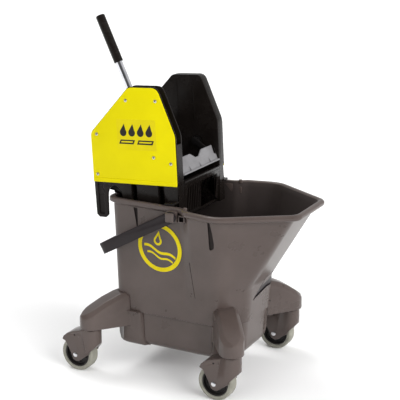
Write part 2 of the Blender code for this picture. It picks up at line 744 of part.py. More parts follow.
def stem_mesh():
    """A headed pin from the housing up into the leg."""
    top = LEG_UNDER_Z + STEM_IN_LEG
    head = STEM_RADIUS + STEM_HEAD
    profile = [(0, STEM_FOOT_Z), (head, STEM_FOOT_Z), (head, STEM_FOOT_Z + STEM_HEAD),
               (STEM_RADIUS, STEM_FOOT_Z + STEM_HEAD), (STEM_RADIUS, top - 0.002),
               (STEM_RADIUS - 0.002, top), (0, top)]
    return turned("stem", profile, 14)


def build_castors(root, materials):
    meshes = {"housing": housing_mesh(), "axle": axle_mesh(), "stem": stem_mesh(),
              "hub": hub_mesh(), "tyre": tyre_mesh()}
    finishes = {"housing": "grey_plastic", "axle": "steel", "stem": "steel",
                "hub": "black_plastic", "tyre": "grey_rubber"}
    for end_name, end in ENDS.items():
        for label, side in SIDES.items():
            spot = (end * SWIVEL_BASE / 2, side * SWIVEL_TRACK / 2, 0)
            swivel = make_empty(f"swivel_axis_{end_name}_{label}", root, spot)
            spin = make_empty(f"wheel_axis_{end_name}_{label}", swivel, (-TRAIL, 0, WHEEL_RADIUS))
            parents = {"housing": swivel, "axle": spin, "stem": root, "hub": spin, "tyre": spin}
            for kind, mesh in meshes.items():
                location = spot if kind == "stem" else (0, 0, 0)
                place(f"castor_{kind}_{end_name}_{label}", mesh, materials[finishes[kind]],
                      parents[kind], location)


# ---- bail handle ------------------------------------------------------------
def bail_reach():
    """Pivot to the back of the strip, so that the drooping strip lies against the rear wall."""
    low_z = BAIL_Z - 0.100
    wall_x = half_outline(low_z)[0][0]
    gap = TOUCH_GAP * 2
    flat = (BAIL_X - wall_x + gap) / math.cos(BAIL_DROOP)
    return flat + BAIL_WIDTH / 2 * math.tan(BAIL_DROOP) + BAIL_THICK


def build_bail(root, materials):
    axis = make_empty("bail_axis", root, (BAIL_X, 0, BAIL_Z), -BAIL_DROOP)
    reach = bail_reach()
    inner_corner = BAIL_CORNER - BAIL_THICK
    outer = [(-reach, -BAIL_OUTER, BAIL_CORNER, 6), (-reach, BAIL_OUTER, BAIL_CORNER, 6)]
    inner_x = -reach + BAIL_THICK
    inner = [(inner_x, BAIL_INNER, inner_corner, 6), (inner_x, -BAIL_INNER, inner_corner, 6)]
    eye = BAIL_WIDTH / 2
    outline = rounded([(0, -BAIL_OUTER, 0, 0), *outer, (0, BAIL_OUTER, 0, 0),
                       (0, BAIL_INNER, 0, 0), *inner, (0, -BAIL_INNER, 0, 0)])
    rings = [[(x, y, z) for x, y in outline] for z in (-eye, eye)]
    strip = loft("strip", rings)
    hole = BAIL_PIN_RADIUS + RUNNING_GAP
    for side in SIDES.values():
        low, high = sorted((side * BAIL_INNER, side * BAIL_OUTER))
        end = turned("end", [(0, low), (eye, low), (eye, high), (0, high)], 24)
        bore = turned("bore", [(0, low - 0.01), (hole, low - 0.01), (hole, high + 0.01),
                               (0, high + 0.01)], 16)
        strip = unite(strip, along_y(end))
        strip = cut(strip, along_y(bore))
    place("bail_handle", strip, materials["grey_plastic"], axis)


# ---- wringer ----------------------------------------------------------------
CASING_OUTER = (side_wall_y(-REAR_REACH + 0.05, RIM_Z) - WALL) - WRINGER_SIDE_GAP
CASING_INNER = CASING_OUTER - CASING_WIDTH
COVER_INNER = CASING_OUTER + TOUCH_GAP
COVER_OUTER = COVER_INNER + COVER_THICK
FRAME_X = -REAR_REACH - WRINGER_BACK
FRAME_Z = RIM_Z + WRINGER_LIFT
TUBE_Y = CASING_INNER + CASING_WALL + SWING_GAP + TUBE_RADIUS

# Screws of a cover as (u, w): u forward from its rear edge, w up from its lower edge.
SCREWS = {"top_rear": (TOP_REAR - 0.006, PLATE_HEIGHT - 0.0276),
          "top_front": (TOP_FRONT - 0.0045, PLATE_HEIGHT - 0.0275),
          "rear": (0.016, SHOULDER_W - 0.0022),
          "front": (PLATE_LENGTH - 0.013, 0.0457),
          "low_rear": (0.0125, 0.0155)}
SHORT_ON_RIGHT = ("top_rear", "top_front")


def level_w(u, z):
    """Height inside the leaning wringer frame of a point at world height z."""
    return (z - FRAME_Z - u * math.sin(WRINGER_LEAN)) / math.cos(WRINGER_LEAN)


def plate_outline(inset=0.0, bottom=0.0):
    """The seven-sided outline shared by casings and covers, anticlockwise in (u, w)."""
    corners = [(0, 0), (PLATE_LENGTH, 0), (PLATE_LENGTH, SHOULDER_W), (TOP_FRONT, PLATE_HEIGHT),
               (TOP_REAR, PLATE_HEIGHT), (0, SHOULDER_W)]
    corners = grown(corners, -inset)
    corners = [(u, w if i > 1 else bottom) for i, (u, w) in enumerate(corners)]
    cuts = [(0.003, 1), (0.003, 1), (0.006, 2), (0.012, 4), (0.006, 2), (0.006, 2)]
    return rounded([(u, w, *soft) for (u, w), soft in zip(corners, cuts)])


def casing_inner_wall(low, high):
    """The casing's inner wall with its skirt, which stops short of the rear rim."""
    outline = [(SKIRT_START, -SKIRT_DEPTH), (PLATE_LENGTH - 0.002, -SKIRT_DEPTH),
               (PLATE_LENGTH, 0.0)]
    outline += plate_outline()[4:]
    outline += [(0.0, 0.0), (SKIRT_START, -0.001)]
    return plate("inner_wall", outline, low, high)


def hook_plate(face):
    """The thin plate flush with the skirt's face: the hook leg and the arch over the rim."""
    arch_mid = (SKIRT_START + HOOK_WIDTH) / 2
    arch_half = (SKIRT_START - HOOK_WIDTH) / 2
    arch = [(arch_mid + arch_half * math.cos(math.radians(a)),
             HOOK_SPRING + HOOK_ARCH * math.sin(math.radians(a))) for a in range(0, 181, 15)]
    tip = -HOOK_LENGTH
    outline = [(0.0, 0.0015), (0.001, tip + 0.006), (0.007, tip), (HOOK_WIDTH - 0.008, tip),
               (HOOK_WIDTH - 0.0015, tip + 0.006)]
    outline += arch[::-1]
    outline += [(SKIRT_START + 0.002, HOOK_SPRING), (SKIRT_START + 0.002, 0.0015)]
    leg = plate("leg", outline, face - HOOK_THICK, face)
    channel = block("channel", (0.0085, face - HOOK_THICK + 0.0015, tip + 0.008),
                    (0.021, face + 0.01, -0.004))
    return cut(leg, channel)


def casing_mesh(side):
    """One side casing, built on +Y and mirrored for the right-hand side."""
    wall_end = CASING_INNER + CASING_WALL
    mesh = casing_inner_wall(CASING_INNER, wall_end)
    shell = plate("shell", plate_outline(), wall_end - 0.001, CASING_OUTER)
    cavity = plate("cavity", plate_outline(CASING_WALL, CASING_WALL), wall_end - 0.005, CASING_OUTER + 0.01)
    shell = cut(shell, cavity)
    skirt_face = CASING_OUTER - 0.0012
    columns = []
    for start, end in ((SKIRT_START, 0.089), (0.102, 0.152), (0.166, PLATE_LENGTH - 0.0015)):
        columns.append(block("column", (start, wall_end - 0.001, -SKIRT_DEPTH),
                             (end, skirt_face, 0.0015)))
    lug_u = PLATE_LENGTH - 0.013
    lug_low = level_w(lug_u, RIM_Z + TOUCH_GAP)
    rim_inner = side_wall_y(FRAME_X + lug_u, RIM_Z)
    lug = block("lug", (lug_u - 0.011, CASING_OUTER - 0.006, lug_low + 0.0007),
                (lug_u + 0.011, rim_inner + 0.001, lug_low + 0.005))
    bosses = []
    holes = []
    for name, (u, w) in SCREWS.items():
        if side < 0 and name in SHORT_ON_RIGHT:
            continue
        boss = turned("boss", [(0, wall_end - 0.001), (BOSS_RADIUS, wall_end - 0.001),
                               (BOSS_RADIUS, CASING_OUTER), (0, CASING_OUTER)], 12)
        bosses.append(moved(along_y(boss), u, 0, w))
        radius = SCREW_SHANK + TOUCH_GAP * 0.5
        depth = CASING_OUTER - LONG_SCREW
        hole = turned("hole", [(0, depth), (radius, depth), (radius, CASING_OUTER + 0.01),
                               (0, CASING_OUTER + 0.01)], 10)
        holes.append(moved(along_y(hole), u, 0, w))
    mesh = unite(mesh, shell, *columns, hook_plate(skirt_face), lug, *bosses)
    bush_radius = SHAFT_RADIUS + RUNNING_GAP + BUSH_WALL + TOUCH_GAP
    bush_hole = turned("bush_hole", [(0, CASING_INNER - 0.01), (bush_radius, CASING_INNER - 0.01),
                                     (bush_radius, wall_end + 0.004), (0, wall_end + 0.004)], 24)
    holes.append(moved(along_y(bush_hole), PIVOT_U, 0, PIVOT_W))
    if side < 0:
        holes.append(lever_slot())
    mesh = cut(mesh, *holes)
    return mirrored_y(mesh) if side < 0 else mesh


def lever_slot():
    """The opening through the casing's top and front edge that the lever swings in."""
    half = TUBE_RADIUS + SWING_GAP
    near, far = 0.050, 0.190
    points = []
    for angle, sign in ((-LEVER_BACK, -1), (LEVER_SWING - LEVER_BACK, 1)):
        along = Vector((math.sin(angle), math.cos(angle)))
        across = Vector((math.cos(angle), -math.sin(angle))) * sign * half
        pair = [along * near + across, along * far + across]
        points += pair if sign < 0 else pair[::-1]
    middle = LEVER_SWING / 2 - LEVER_BACK
    points.insert(2, Vector((math.sin(middle), math.cos(middle))) * far * 1.2)
    outline = [(PIVOT_U + p.x, PIVOT_W + p.y) for p in points]
    return plate("slot", outline, TUBE_Y - half, TUBE_Y + half)


def cover_mesh():
    """A yellow cover on the +Y side, with a thicker folded lip along its lower edge."""
    sheet = plate("sheet", plate_outline(COVER_INSET, 0.0), COVER_INNER, COVER_OUTER)
    lip = block("lip", (COVER_INSET + 0.0002, COVER_INNER + 0.0005, -0.0008),
                (PLATE_LENGTH - COVER_INSET - 0.0002, COVER_OUTER + 0.0012, COVER_LIP - 0.0008))
    sheet = unite(sheet, lip)
    radius = SCREW_SHANK + TOUCH_GAP
    holes = []
    for u, w in [*SCREWS.values(), (PIVOT_U, PIVOT_W)]:
        hole = turned("hole", [(0, COVER_INNER - 0.01), (radius, COVER_INNER - 0.01),
                               (radius, COVER_OUTER + 0.01), (0, COVER_OUTER + 0.01)], 10)
        holes.append(moved(along_y(hole), u, 0, w))
    return cut(sheet, *holes)


def screw_mesh(length):
    """A pan-head screw on the +Y side whose head rests on the cover."""
    seat = COVER_OUTER + TOUCH_GAP
    tip = COVER_OUTER - length
    profile = [(0, tip), (SCREW_SHANK, tip + 0.0004), (SCREW_SHANK, seat), (SCREW_HEAD, seat),
               (SCREW_HEAD, seat + 0.0006), (SCREW_HEAD * 0.6, seat + 0.0014), (0, seat + 0.0016)]
    return along_y(turned("screw", profile, 12))


def basket_mesh():
    """The slotted trough between the casings, with the saddle that rests on the rear rim."""
    t = BASKET_THICK
    rest = RIM_Z + TOUCH_GAP
    pad_rear, pad_front = 0.033, 0.047
    front_top = (PLATE_LENGTH + 0.0020, 0.0020)
    floor = -SKIRT_DEPTH - 0.003
    outer = [
        (0.004, SHOULDER_W - 0.004), (0.004, -0.020), (pad_rear, level_w(pad_rear, rest) + 0.004),
        (pad_rear, level_w(pad_rear, rest)), (pad_front, level_w(pad_front, rest)),
        (pad_front + 0.010, level_w(pad_front, rest) - 0.004),
        (0.104, floor), (PLATE_LENGTH - 0.014, floor), (PLATE_LENGTH - 0.0065, floor + 0.006),
        front_top,
    ]
    inner = [
        (front_top[0] - t, front_top[1]), (PLATE_LENGTH - 0.011, floor + 0.008),
        (PLATE_LENGTH - 0.016, floor + t), (0.106, floor + t),
        (pad_front + 0.009, level_w(pad_front, rest) + 0.001),
        (pad_front - 0.003, level_w(pad_rear, rest) + t),
        (pad_rear - 0.003, level_w(pad_rear, rest) + 0.004 + t), (0.004 + t, -0.020 + t * 0.9),
        (0.004 + t, SHOULDER_W - 0.004),
    ]
    half = CASING_INNER - TOUCH_GAP
    mesh = plate("trough", outer + inner, -half, half)
    slots = []
    count = int((2 * half - 0.016) / BASKET_SLOT_PITCH)
    width = BASKET_SLOT_WIDTH / 2
    for i in range(count):
        y = (i - (count - 1) / 2) * BASKET_SLOT_PITCH
        slots.append(block("slot", (PLATE_LENGTH - 0.018, y - width, floor + 0.012),
                           (PLATE_LENGTH + 0.01, y + width, -0.010)))
        if i % 2:
            slots.append(block("drain", (0.112, y - width, floor - 0.01),
                               (PLATE_LENGTH - 0.024, y + width, floor + 0.01)))
    lip = block("lip", (front_top[0] - 0.009, -half, front_top[1] - 0.003),
                (front_top[0] + 0.0005, half, front_top[1] + 0.0025))
    mesh = unite(mesh, lip)
    return cut(mesh, *slots)


def bush_mesh():
    """A flanged bush on the +Y side that carries a shaft in the casing's inner wall."""
    bore = SHAFT_RADIUS + RUNNING_GAP
    body = bore + BUSH_WALL
    low, high = CASING_INNER - 0.0002, CASING_INNER + CASING_WALL
    profile = [(bore, low), (body, low), (body, high + TOUCH_GAP), (body + BUSH_FLANGE, high + TOUCH_GAP),
               (body + BUSH_FLANGE, high + 0.0012), (bore, high + 0.0012)]
    return along_y(turned("bush", profile, 20, ring=True))


def spring_mesh():
    """A torsion spring round the left shaft, inside its casing."""
    wire, coil = SPRING_WIRE, SPRING_COIL
    start = CASING_INNER + CASING_WALL + 0.0035
    turns, per_turn, sides = 3.25, 18, 6
    pitch = wire * 2.5
    steps = int(turns * per_turn)
    rings = []
    for i in range(steps + 1):
        angle = 2 * math.pi * i / per_turn
        centre = Vector((coil * math.cos(angle), coil * math.sin(angle), start + pitch * i / per_turn))
        out = Vector((math.cos(angle), math.sin(angle), 0))
        up = Vector((0, 0, 1))
        rings.append([centre + out * wire * math.cos(2 * math.pi * k / sides)
                      + up * wire * math.sin(2 * math.pi * k / sides) for k in range(sides)])
    return along_y(loft("spring", rings))


def side_copy(mesh, side):
    return mirrored_y(mesh) if side < 0 else mesh.copy()


def build_wringer(root, materials):
    frame = make_empty("wringer_frame", root, (FRAME_X, 0, FRAME_Z), -WRINGER_LEAN)
    place("wringer_basket", basket_mesh(), materials["black_plastic"], frame)
    cover, bush = cover_mesh(), bush_mesh()
    long_screw, short_screw = screw_mesh(LONG_SCREW), screw_mesh(SHORT_SCREW)
    for label, side in SIDES.items():
        place(f"casing_{label}", casing_mesh(side), materials["black_plastic"], frame)
        place(f"cover_{label}", side_copy(cover, side), materials["yellow"], frame)
        place(f"shaft_bush_{label}", side_copy(bush, side), materials["pale_grey"], frame,
              (PIVOT_U, 0, PIVOT_W))
        for name, (u, w) in SCREWS.items():
            short = side < 0 and name in SHORT_ON_RIGHT
            screw = side_copy(short_screw if short else long_screw, side)
            place(f"screw_{name}_{label}", screw, materials["steel"], frame, (u, 0, w))
        place(f"pivot_screw_{label}", side_copy(long_screw, side), materials["steel"], frame,
              (PIVOT_U, 0, PIVOT_W))
    place("return_spring", spring_mesh(), materials["steel"], frame, (PIVOT_U, 0, PIVOT_W))
    build_lever(frame, materials)


# ---- lever and press --------------------------------------------------------
SHAFT_OUT = CASING_OUTER - 0.0035
HUB_INNER = CASING_INNER + CASING_WALL + 0.0022
ARM_OUTER = CASING_INNER - SWING_GAP - 0.003
ARM_INNER = ARM_OUTER - ARM_THICK
PLATE_HALF = CASING_INNER - SWING_GAP
PLATE_TOP = Vector((0.0390, -0.0062))   # edges of the press plate, from the pivot
PLATE_LOW = Vector((0.0497, -0.0407))
PLATE_UP = (PLATE_TOP - PLATE_LOW).normalized()
PLATE_OUT = Vector((PLATE_UP.y, -PLATE_UP.x))


def on_plate(up, forward):
    """A point beside the press plate's face: up from its low edge, forward of its face."""
    return PLATE_LOW + PLATE_UP * up + PLATE_OUT * forward


def shaft_mesh():
    """A stub shaft on the +Y side; its outer end is drilled for the pivot screw."""
    drill = SCREW_SHANK + RUNNING_GAP
    depth = 0.010
    profile = [(0, ARM_OUTER + TOUCH_GAP), (SHAFT_RADIUS, ARM_OUTER + TOUCH_GAP),
               (SHAFT_RADIUS, SHAFT_OUT), (drill, SHAFT_OUT), (drill, SHAFT_OUT - depth),
               (0, SHAFT_OUT - depth)]
    return along_y(turned("shaft", profile, 20))


def arm_mesh():
    """A flat arm on the +Y side from the shaft to the end of the press plate."""
    back = -PRESS_THICK - TOUCH_GAP
    low, high = on_plate(0.004, back), on_plate(0.020, back)
    turn = math.degrees(math.atan2(PLATE_UP.y, PLATE_UP.x))
    outline = arc((0, 0), ARM_EYE_RADIUS, turn, turn + 180, 8) + [tuple(low), tuple(high)]
    return plate("arm", outline, ARM_INNER, ARM_OUTER)


def press_plate_mesh():
    """The pale press bar: an upright sheet with a notched top and a foot with small ribs."""
    half = PLATE_HALF
    notch = 0.0110
    height = (PLATE_TOP - PLATE_LOW).length

    def at(up, forward, y):
        point = on_plate(up, forward)
        return (point.x, y, point.y)

    face = [(-half, 0.0), (half, 0.0), (half, height - 0.022), (half - 0.008, height - 0.018),
            (half - 0.008, height), (0.026, height), (0.008, height - notch),
            (-0.008, height - notch), (-0.026, height), (-half + 0.008, height),
            (-half + 0.008, height - 0.018), (-half, height - 0.022)]
    rings = [[at(up, forward, y) for y, up in face] for forward in (-PRESS_THICK, 0.0)]
    sheet = loft("sheet", rings)
    foot = loft("foot", [[at(up, forward, y) for up, forward in
                          ((0, -PRESS_THICK + 0.0005), (0, PRESS_FOOT_REACH), (0.0035, PRESS_FOOT_REACH),
                           (0.0035, -PRESS_THICK + 0.0005))]
                         for y in (-half + 0.0002, half - 0.0002)])
    parts = [foot]
    for y in (-half * 0.55, 0.0, half * 0.55):
        rib = [(0.002, -0.001), (0.002, PRESS_FOOT_REACH - 0.0005), (0.018, -0.001)]
        parts.append(loft("rib", [[at(up, forward, y + dy) for up, forward in rib]
                                  for dy in (-0.0012, 0.0012)]))
    return unite(sheet, *parts)


def hub_block_mesh():
    """The lever's hub on the right-hand shaft, with a short socket for the tube."""
    low, high = HUB_INNER, SHAFT_OUT - 0.0005
    body = along_y(turned("boss", [(0, low), (LEVER_BOSS_RADIUS, low),
                                   (LEVER_BOSS_RADIUS, high), (0, high)], 24))
    outer = TUBE_RADIUS + SOCKET_WALL
    socket = turned("socket", [(0, SOCKET_START), (outer, SOCKET_START), (outer, SOCKET_END),
                               (0, SOCKET_END)], 16)
    beside_cover = block("beside_cover", (-0.05, CASING_OUTER - SWING_GAP, 0.0),
                         (0.05, CASING_OUTER + 0.05, 0.05))
    body = unite(body, cut(moved(socket, 0, TUBE_Y, 0), beside_cover))
    room = TUBE_RADIUS + TOUCH_GAP
    tube_room = turned("tube_room", [(0, TUBE_START), (room, TUBE_START), (room, 0.05),
                                     (0, 0.05)], 16)
    shaft_room = SHAFT_RADIUS + TOUCH_GAP
    shaft_hole = along_y(turned("shaft_hole", [(0, low - 0.01), (shaft_room, low - 0.01),
                                               (shaft_room, high + 0.01), (0, high + 0.01)], 20))
    body = cut(body, moved(tube_room, 0, TUBE_Y, 0), shaft_hole)
    return mirrored_y(body)


def tube_mesh():
    start = TUBE_START + TOUCH_GAP
    profile = [(0, start), (TUBE_RADIUS, start), (TUBE_RADIUS, TUBE_END), (0, TUBE_END)]
    return moved(turned("tube", profile, 20), 0, -TUBE_Y, 0)


def grip_mesh():
    """A round grip, closed at its end, pushed over the tube."""
    start = TUBE_END - GRIP_LENGTH + 0.006
    end = start + GRIP_LENGTH
    bore = TUBE_RADIUS + TOUCH_GAP
    profile = [(bore, start), (GRIP_RADIUS - 0.0006, start), (GRIP_RADIUS, start + 0.002),
               (GRIP_RADIUS, end - 0.004), (GRIP_RADIUS - 0.0012, end - 0.001),
               (GRIP_RADIUS - 0.003, end), (0, end), (0, TUBE_END + TOUCH_GAP),
               (bore, TUBE_END + TOUCH_GAP)]
    return moved(turned("grip", profile, 24, ring=True), 0, -TUBE_Y, 0)


def build_lever(frame, materials):
    axis = make_empty("lever_axis", frame, (PIVOT_U, 0, PIVOT_W))
    shaft, arm = shaft_mesh(), arm_mesh()
    for label, side in SIDES.items():
        place(f"lever_shaft_{label}", side_copy(shaft, side), materials["steel"], axis)
        place(f"press_arm_{label}", side_copy(arm, side), materials["black_steel"], axis)
    place("press_plate", press_plate_mesh(), materials["pale_grey"], axis)
    place("lever_hub", hub_block_mesh(), materials["black_steel"], axis, turn_y=-LEVER_BACK)
    place("lever_tube", tube_mesh(), materials["chrome"], axis, turn_y=-LEVER_BACK)
    place("lever_grip", grip_mesh(), materials["black_plastic"], axis, turn_y=-LEVER_BACK)


# ---- assembly ---------------------------------------------------------------
def footprint_middle():
    """Middle of the assembly's length: from the rear castor hood to the nose bead."""
    hood_tip = -SWIVEL_BASE / 2 - TRAIL - WHEEL_RADIUS
    nose_tip = max(x for x, _, _ in wall_ring(RIM_Z, BEAD_REACH))
    return (hood_tip + nose_tip) / 2


def build():
    clear_scene()
    materials = {
        "grey_plastic": make_material("grey_plastic", GREY_PLASTIC, 0.42),
        "black_plastic": make_material("black_plastic", BLACK_PLASTIC, 0.38),
        "yellow": make_material("yellow_plastic", YELLOW, 0.35),
        "pale_grey": make_material("pale_grey_plastic", PALE_GREY, 0.45),
        "grey_rubber": make_material("grey_rubber", RUBBER_GREY, 0.7),
        "steel": make_material("zinc_steel", STEEL, 0.35, 1.0),
        "black_steel": make_material("black_steel", BLACK_PLASTIC, 0.45, 0.6),
        "chrome": make_material("chrome", CHROME, 0.12, 1.0),
    }
    root = make_empty("assembly", None, (-footprint_middle(), 0, 0))
    build_bucket(root, materials)
    build_legs(root, materials)
    build_castors(root, materials)
    build_bail(root, materials)
    build_wringer(root, materials)


build()
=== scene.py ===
import math

import bmesh
import bpy
from mathutils import Matrix, Vector


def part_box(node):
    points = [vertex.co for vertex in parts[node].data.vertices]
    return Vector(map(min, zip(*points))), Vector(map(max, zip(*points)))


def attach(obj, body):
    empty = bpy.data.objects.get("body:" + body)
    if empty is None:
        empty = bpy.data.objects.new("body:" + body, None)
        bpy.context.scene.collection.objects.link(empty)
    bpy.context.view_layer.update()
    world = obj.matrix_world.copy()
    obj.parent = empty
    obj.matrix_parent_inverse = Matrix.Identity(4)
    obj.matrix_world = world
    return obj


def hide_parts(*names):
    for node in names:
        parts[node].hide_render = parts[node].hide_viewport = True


# Looks for the wheeled mop bucket with its down-press wringer.
# Metres, z up, x towards the pouring nose, the lever on the -y side.
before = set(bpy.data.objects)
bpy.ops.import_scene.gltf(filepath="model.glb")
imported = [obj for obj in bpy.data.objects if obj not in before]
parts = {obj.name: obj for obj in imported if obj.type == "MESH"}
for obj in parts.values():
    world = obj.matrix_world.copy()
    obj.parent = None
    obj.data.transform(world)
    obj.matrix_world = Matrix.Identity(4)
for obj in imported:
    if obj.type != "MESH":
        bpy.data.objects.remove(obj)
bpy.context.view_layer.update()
print("frame loaded:", len(parts), "nodes")

# The shape formulas count x from the middle of the castors, and the world counts it from
# the middle of the footprint, so whatever they make is moved back by this much.
middle = 0.019
sides = {"right": -1, "left": 1}
ends = {"rear": -1, "front": 1}


# ---- finishes: each one is a node material made from its own dictionary
finishLooks = {
    "greyPlastic": {"dark": (0.060, 0.045, 0.040), "light": (0.082, 0.063, 0.057), "rough": (0.24, 0.33),
                    "blotch": 9, "grain": 700, "bump": 0.10, "specular": 0.34},
    # greyPaintedShade: a darker plastic standing in for shade, painted shade on the bail and in the recess
    # under the nose
    "greyPaintedShade": {"dark": (0.012, 0.009, 0.010), "light": (0.018, 0.014, 0.015), "rough": (0.28, 0.38),
                  "blotch": 12, "grain": 700, "bump": 0.10, "specular": 0.20},
    # greyInsidePaintedShade: rougher, and darker as painted shade for the dim inside of the bucket
    "greyInsidePaintedShade": {"dark": (0.034, 0.027, 0.025), "light": (0.046, 0.037, 0.035), "rough": (0.40, 0.52),
                   "blotch": 9, "grain": 700, "bump": 0.10, "specular": 0.12},
    # recessPaintedShade: near black, painted shade on the faces of grooves, pockets and holes
    "recessPaintedShade": {"dark": (0.010, 0.008, 0.008), "light": (0.018, 0.014, 0.013), "rough": (0.5, 0.65),
                   "blotch": 20, "grain": 900, "bump": 0.10, "specular": 0.1},
    "blackPlastic": {"dark": (0.0060, 0.0046, 0.0040), "light": (0.0100, 0.0080, 0.0070),
                     "rough": (0.22, 0.32), "blotch": 22, "grain": 1100, "bump": 0.12, "specular": 0.15},
    "yellowPlastic": {"dark": (0.59, 0.51, 0.0004), "light": (0.64, 0.56, 0.0008), "rough": (0.40, 0.52),
                      "blotch": 12, "grain": 800, "bump": 0.06, "specular": 0.08},
    "labelYellow": {"dark": (0.54, 0.44, 0.003), "light": (0.62, 0.51, 0.006), "rough": (0.34, 0.46),
                    "blotch": 30, "grain": 600, "bump": 0.04, "specular": 0.12},
    "labelFilm": {"dark": (0.56, 0.47, 0.001), "light": (0.61, 0.52, 0.002), "rough": (0.30, 0.40),
                  "blotch": 30, "grain": 600, "bump": 0.04, "specular": 0.12},
    "labelGrey": {"dark": (0.052, 0.039, 0.036), "light": (0.068, 0.052, 0.048), "rough": (0.30, 0.40),
                  "blotch": 30, "grain": 600, "bump": 0.04, "specular": 0.4},
    "printBlack": {"dark": (0.010, 0.008, 0.006), "light": (0.016, 0.013, 0.010), "rough": (0.40, 0.52),
                   "blotch": 40, "grain": 600, "bump": 0.04, "specular": 0.25},
    "hubPlastic": {"dark": (0.010, 0.009, 0.009), "light": (0.018, 0.016, 0.015), "rough": (0.40, 0.55),
                   "blotch": 60, "grain": 900, "bump": 0.10, "specular": 0.3},
    "paleGrey": {"dark": (0.150, 0.147, 0.152), "light": (0.200, 0.196, 0.202), "rough": (0.40, 0.52),
                 "blotch": 25, "grain": 900, "bump": 0.10, "specular": 0.4},
    "greyRubber": {"dark": (0.185, 0.180, 0.150), "light": (0.260, 0.255, 0.215), "rough": (0.55, 0.75),
                   "blotch": 60, "grain": 1500, "bump": 0.25, "specular": 0.3},
    "zincSteel": {"dark": (0.56, 0.56, 0.57), "light": (0.78, 0.78, 0.80), "rough": (0.24, 0.38),
                  "blotch": 120, "grain": 1600, "bump": 0.08, "metal": 1.0},
    "blackSteel": {"dark": (0.010, 0.009, 0.009), "light": (0.018, 0.016, 0.015), "rough": (0.36, 0.50),
                   "blotch": 30, "grain": 1400, "bump": 0.15, "metal": 0.4, "specular": 0.3},
    "chrome": {"dark": (0.60, 0.60, 0.64), "light": (0.80, 0.80, 0.84), "rough": (0.07, 0.13),
               "blotch": 40, "grain": 1500, "bump": 0.03, "metal": 1.0},
}


def makeFinish(name, look):
    material = bpy.data.materials.new(name)
    material.use_nodes = True
    tree = material.node_tree
    shader = tree.nodes["Principled BSDF"]
    place = tree.nodes.new("ShaderNodeTexCoord")

    # broad drift in tone, as in a large moulding
    blotch = tree.nodes.new("ShaderNodeTexNoise")
    blotch.inputs["Scale"].default_value = look["blotch"]
    blotch.inputs["Detail"].default_value = 5
    blotch.inputs["Roughness"].default_value = 0.6
    tree.links.new(place.outputs["Object"], blotch.inputs["Vector"])
    tone = tree.nodes.new("ShaderNodeValToRGB")
    tone.color_ramp.elements[0].position = 0.32
    tone.color_ramp.elements[1].position = 0.70
    tone.color_ramp.elements[0].color = (*look["dark"], 1)
    tone.color_ramp.elements[1].color = (*look["light"], 1)
    tree.links.new(blotch.outputs["Fac"], tone.inputs["Fac"])
    tree.links.new(tone.outputs["Color"], shader.inputs["Base Color"])

    # fine surface grain, for roughness and a light bump
    grain = tree.nodes.new("ShaderNodeTexNoise")
    grain.inputs["Scale"].default_value = look["grain"]
    grain.inputs["Detail"].default_value = 3
    tree.links.new(place.outputs["Object"], grain.inputs["Vector"])
    gloss = tree.nodes.new("ShaderNodeMapRange")
    gloss.inputs["To Min"].default_value = look["rough"][0]
    gloss.inputs["To Max"].default_value = look["rough"][1]
    tree.links.new(blotch.outputs["Fac"], gloss.inputs["Value"])
    tree.links.new(gloss.outputs["Result"], shader.inputs["Roughness"])
    bump = tree.nodes.new("ShaderNodeBump")
    bump.inputs["Strength"].default_value = look["bump"]
    bump.inputs["Distance"].default_value = 0.0002
    tree.links.new(grain.outputs["Fac"], bump.inputs["Height"])
    tree.links.new(bump.outputs["Normal"], shader.inputs["Normal"])

    shader.inputs["Metallic"].default_value = look.get("metal", 0.0)
    shader.inputs["Specular IOR Level"].default_value = look.get("specular", 0.5)
    return material


finishes = {name: makeFinish(name, look) for name, look in finishLooks.items()}
print("finishes made:", len(finishes))


# ---- tools shared by the pieces
def meshFrom(name, points, faces):
    mesh = bpy.data.meshes.new(name)
    mesh.from_pydata([tuple(point) for point in points], [], faces)
    edit = bmesh.new()
    edit.from_mesh(mesh)
    bmesh.ops.recalc_face_normals(edit, faces=edit.faces)
    edit.to_mesh(mesh)
    edit.free()
    return mesh


def addPiece(name, mesh, finish, body, stands=(), sharp=35, moveX=0.0):
    piece = bpy.data.objects.new(name, mesh)
    bpy.context.scene.collection.objects.link(piece)
    mesh.transform(Matrix.Translation((moveX, 0, 0)))
    if not mesh.materials:
        mesh.materials.append(finishes[finish])
    for i, material in enumerate(mesh.materials):
        if material is None:
            mesh.materials[i] = finishes[finish]
    mesh.shade_smooth()
    mesh.set_sharp_from_angle(angle=math.radians(sharp))
    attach(piece, body)
    if stands:
        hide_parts(*stands)
    return piece


def bakedMesh(piece):
    graph = bpy.context.evaluated_depsgraph_get()
    mesh = bpy.data.meshes.new_from_object(piece.evaluated_get(graph))
    bpy.data.objects.remove(piece, do_unlink=True)
    return mesh


def cutMesh(mesh, cutters):
    # a Boolean with each cutter in turn; the cutter's finish shows on the faces it leaves
    for cutter in cutters:
        body = bpy.data.objects.new("body", mesh)
        tool = bpy.data.objects.new("tool", cutter)
        for helper in (body, tool):
            bpy.context.scene.collection.objects.link(helper)
        change = body.modifiers.new("change", "BOOLEAN")
        change.operation = "DIFFERENCE"
        change.solver = "EXACT"
        change.material_mode = "TRANSFER"
        change.object = tool
        mesh = bakedMesh(body)
        bpy.data.objects.remove(tool, do_unlink=True)
    return mesh


shortestEdge = 0.0005   # slivers shorter than this are closed before an edge is rounded


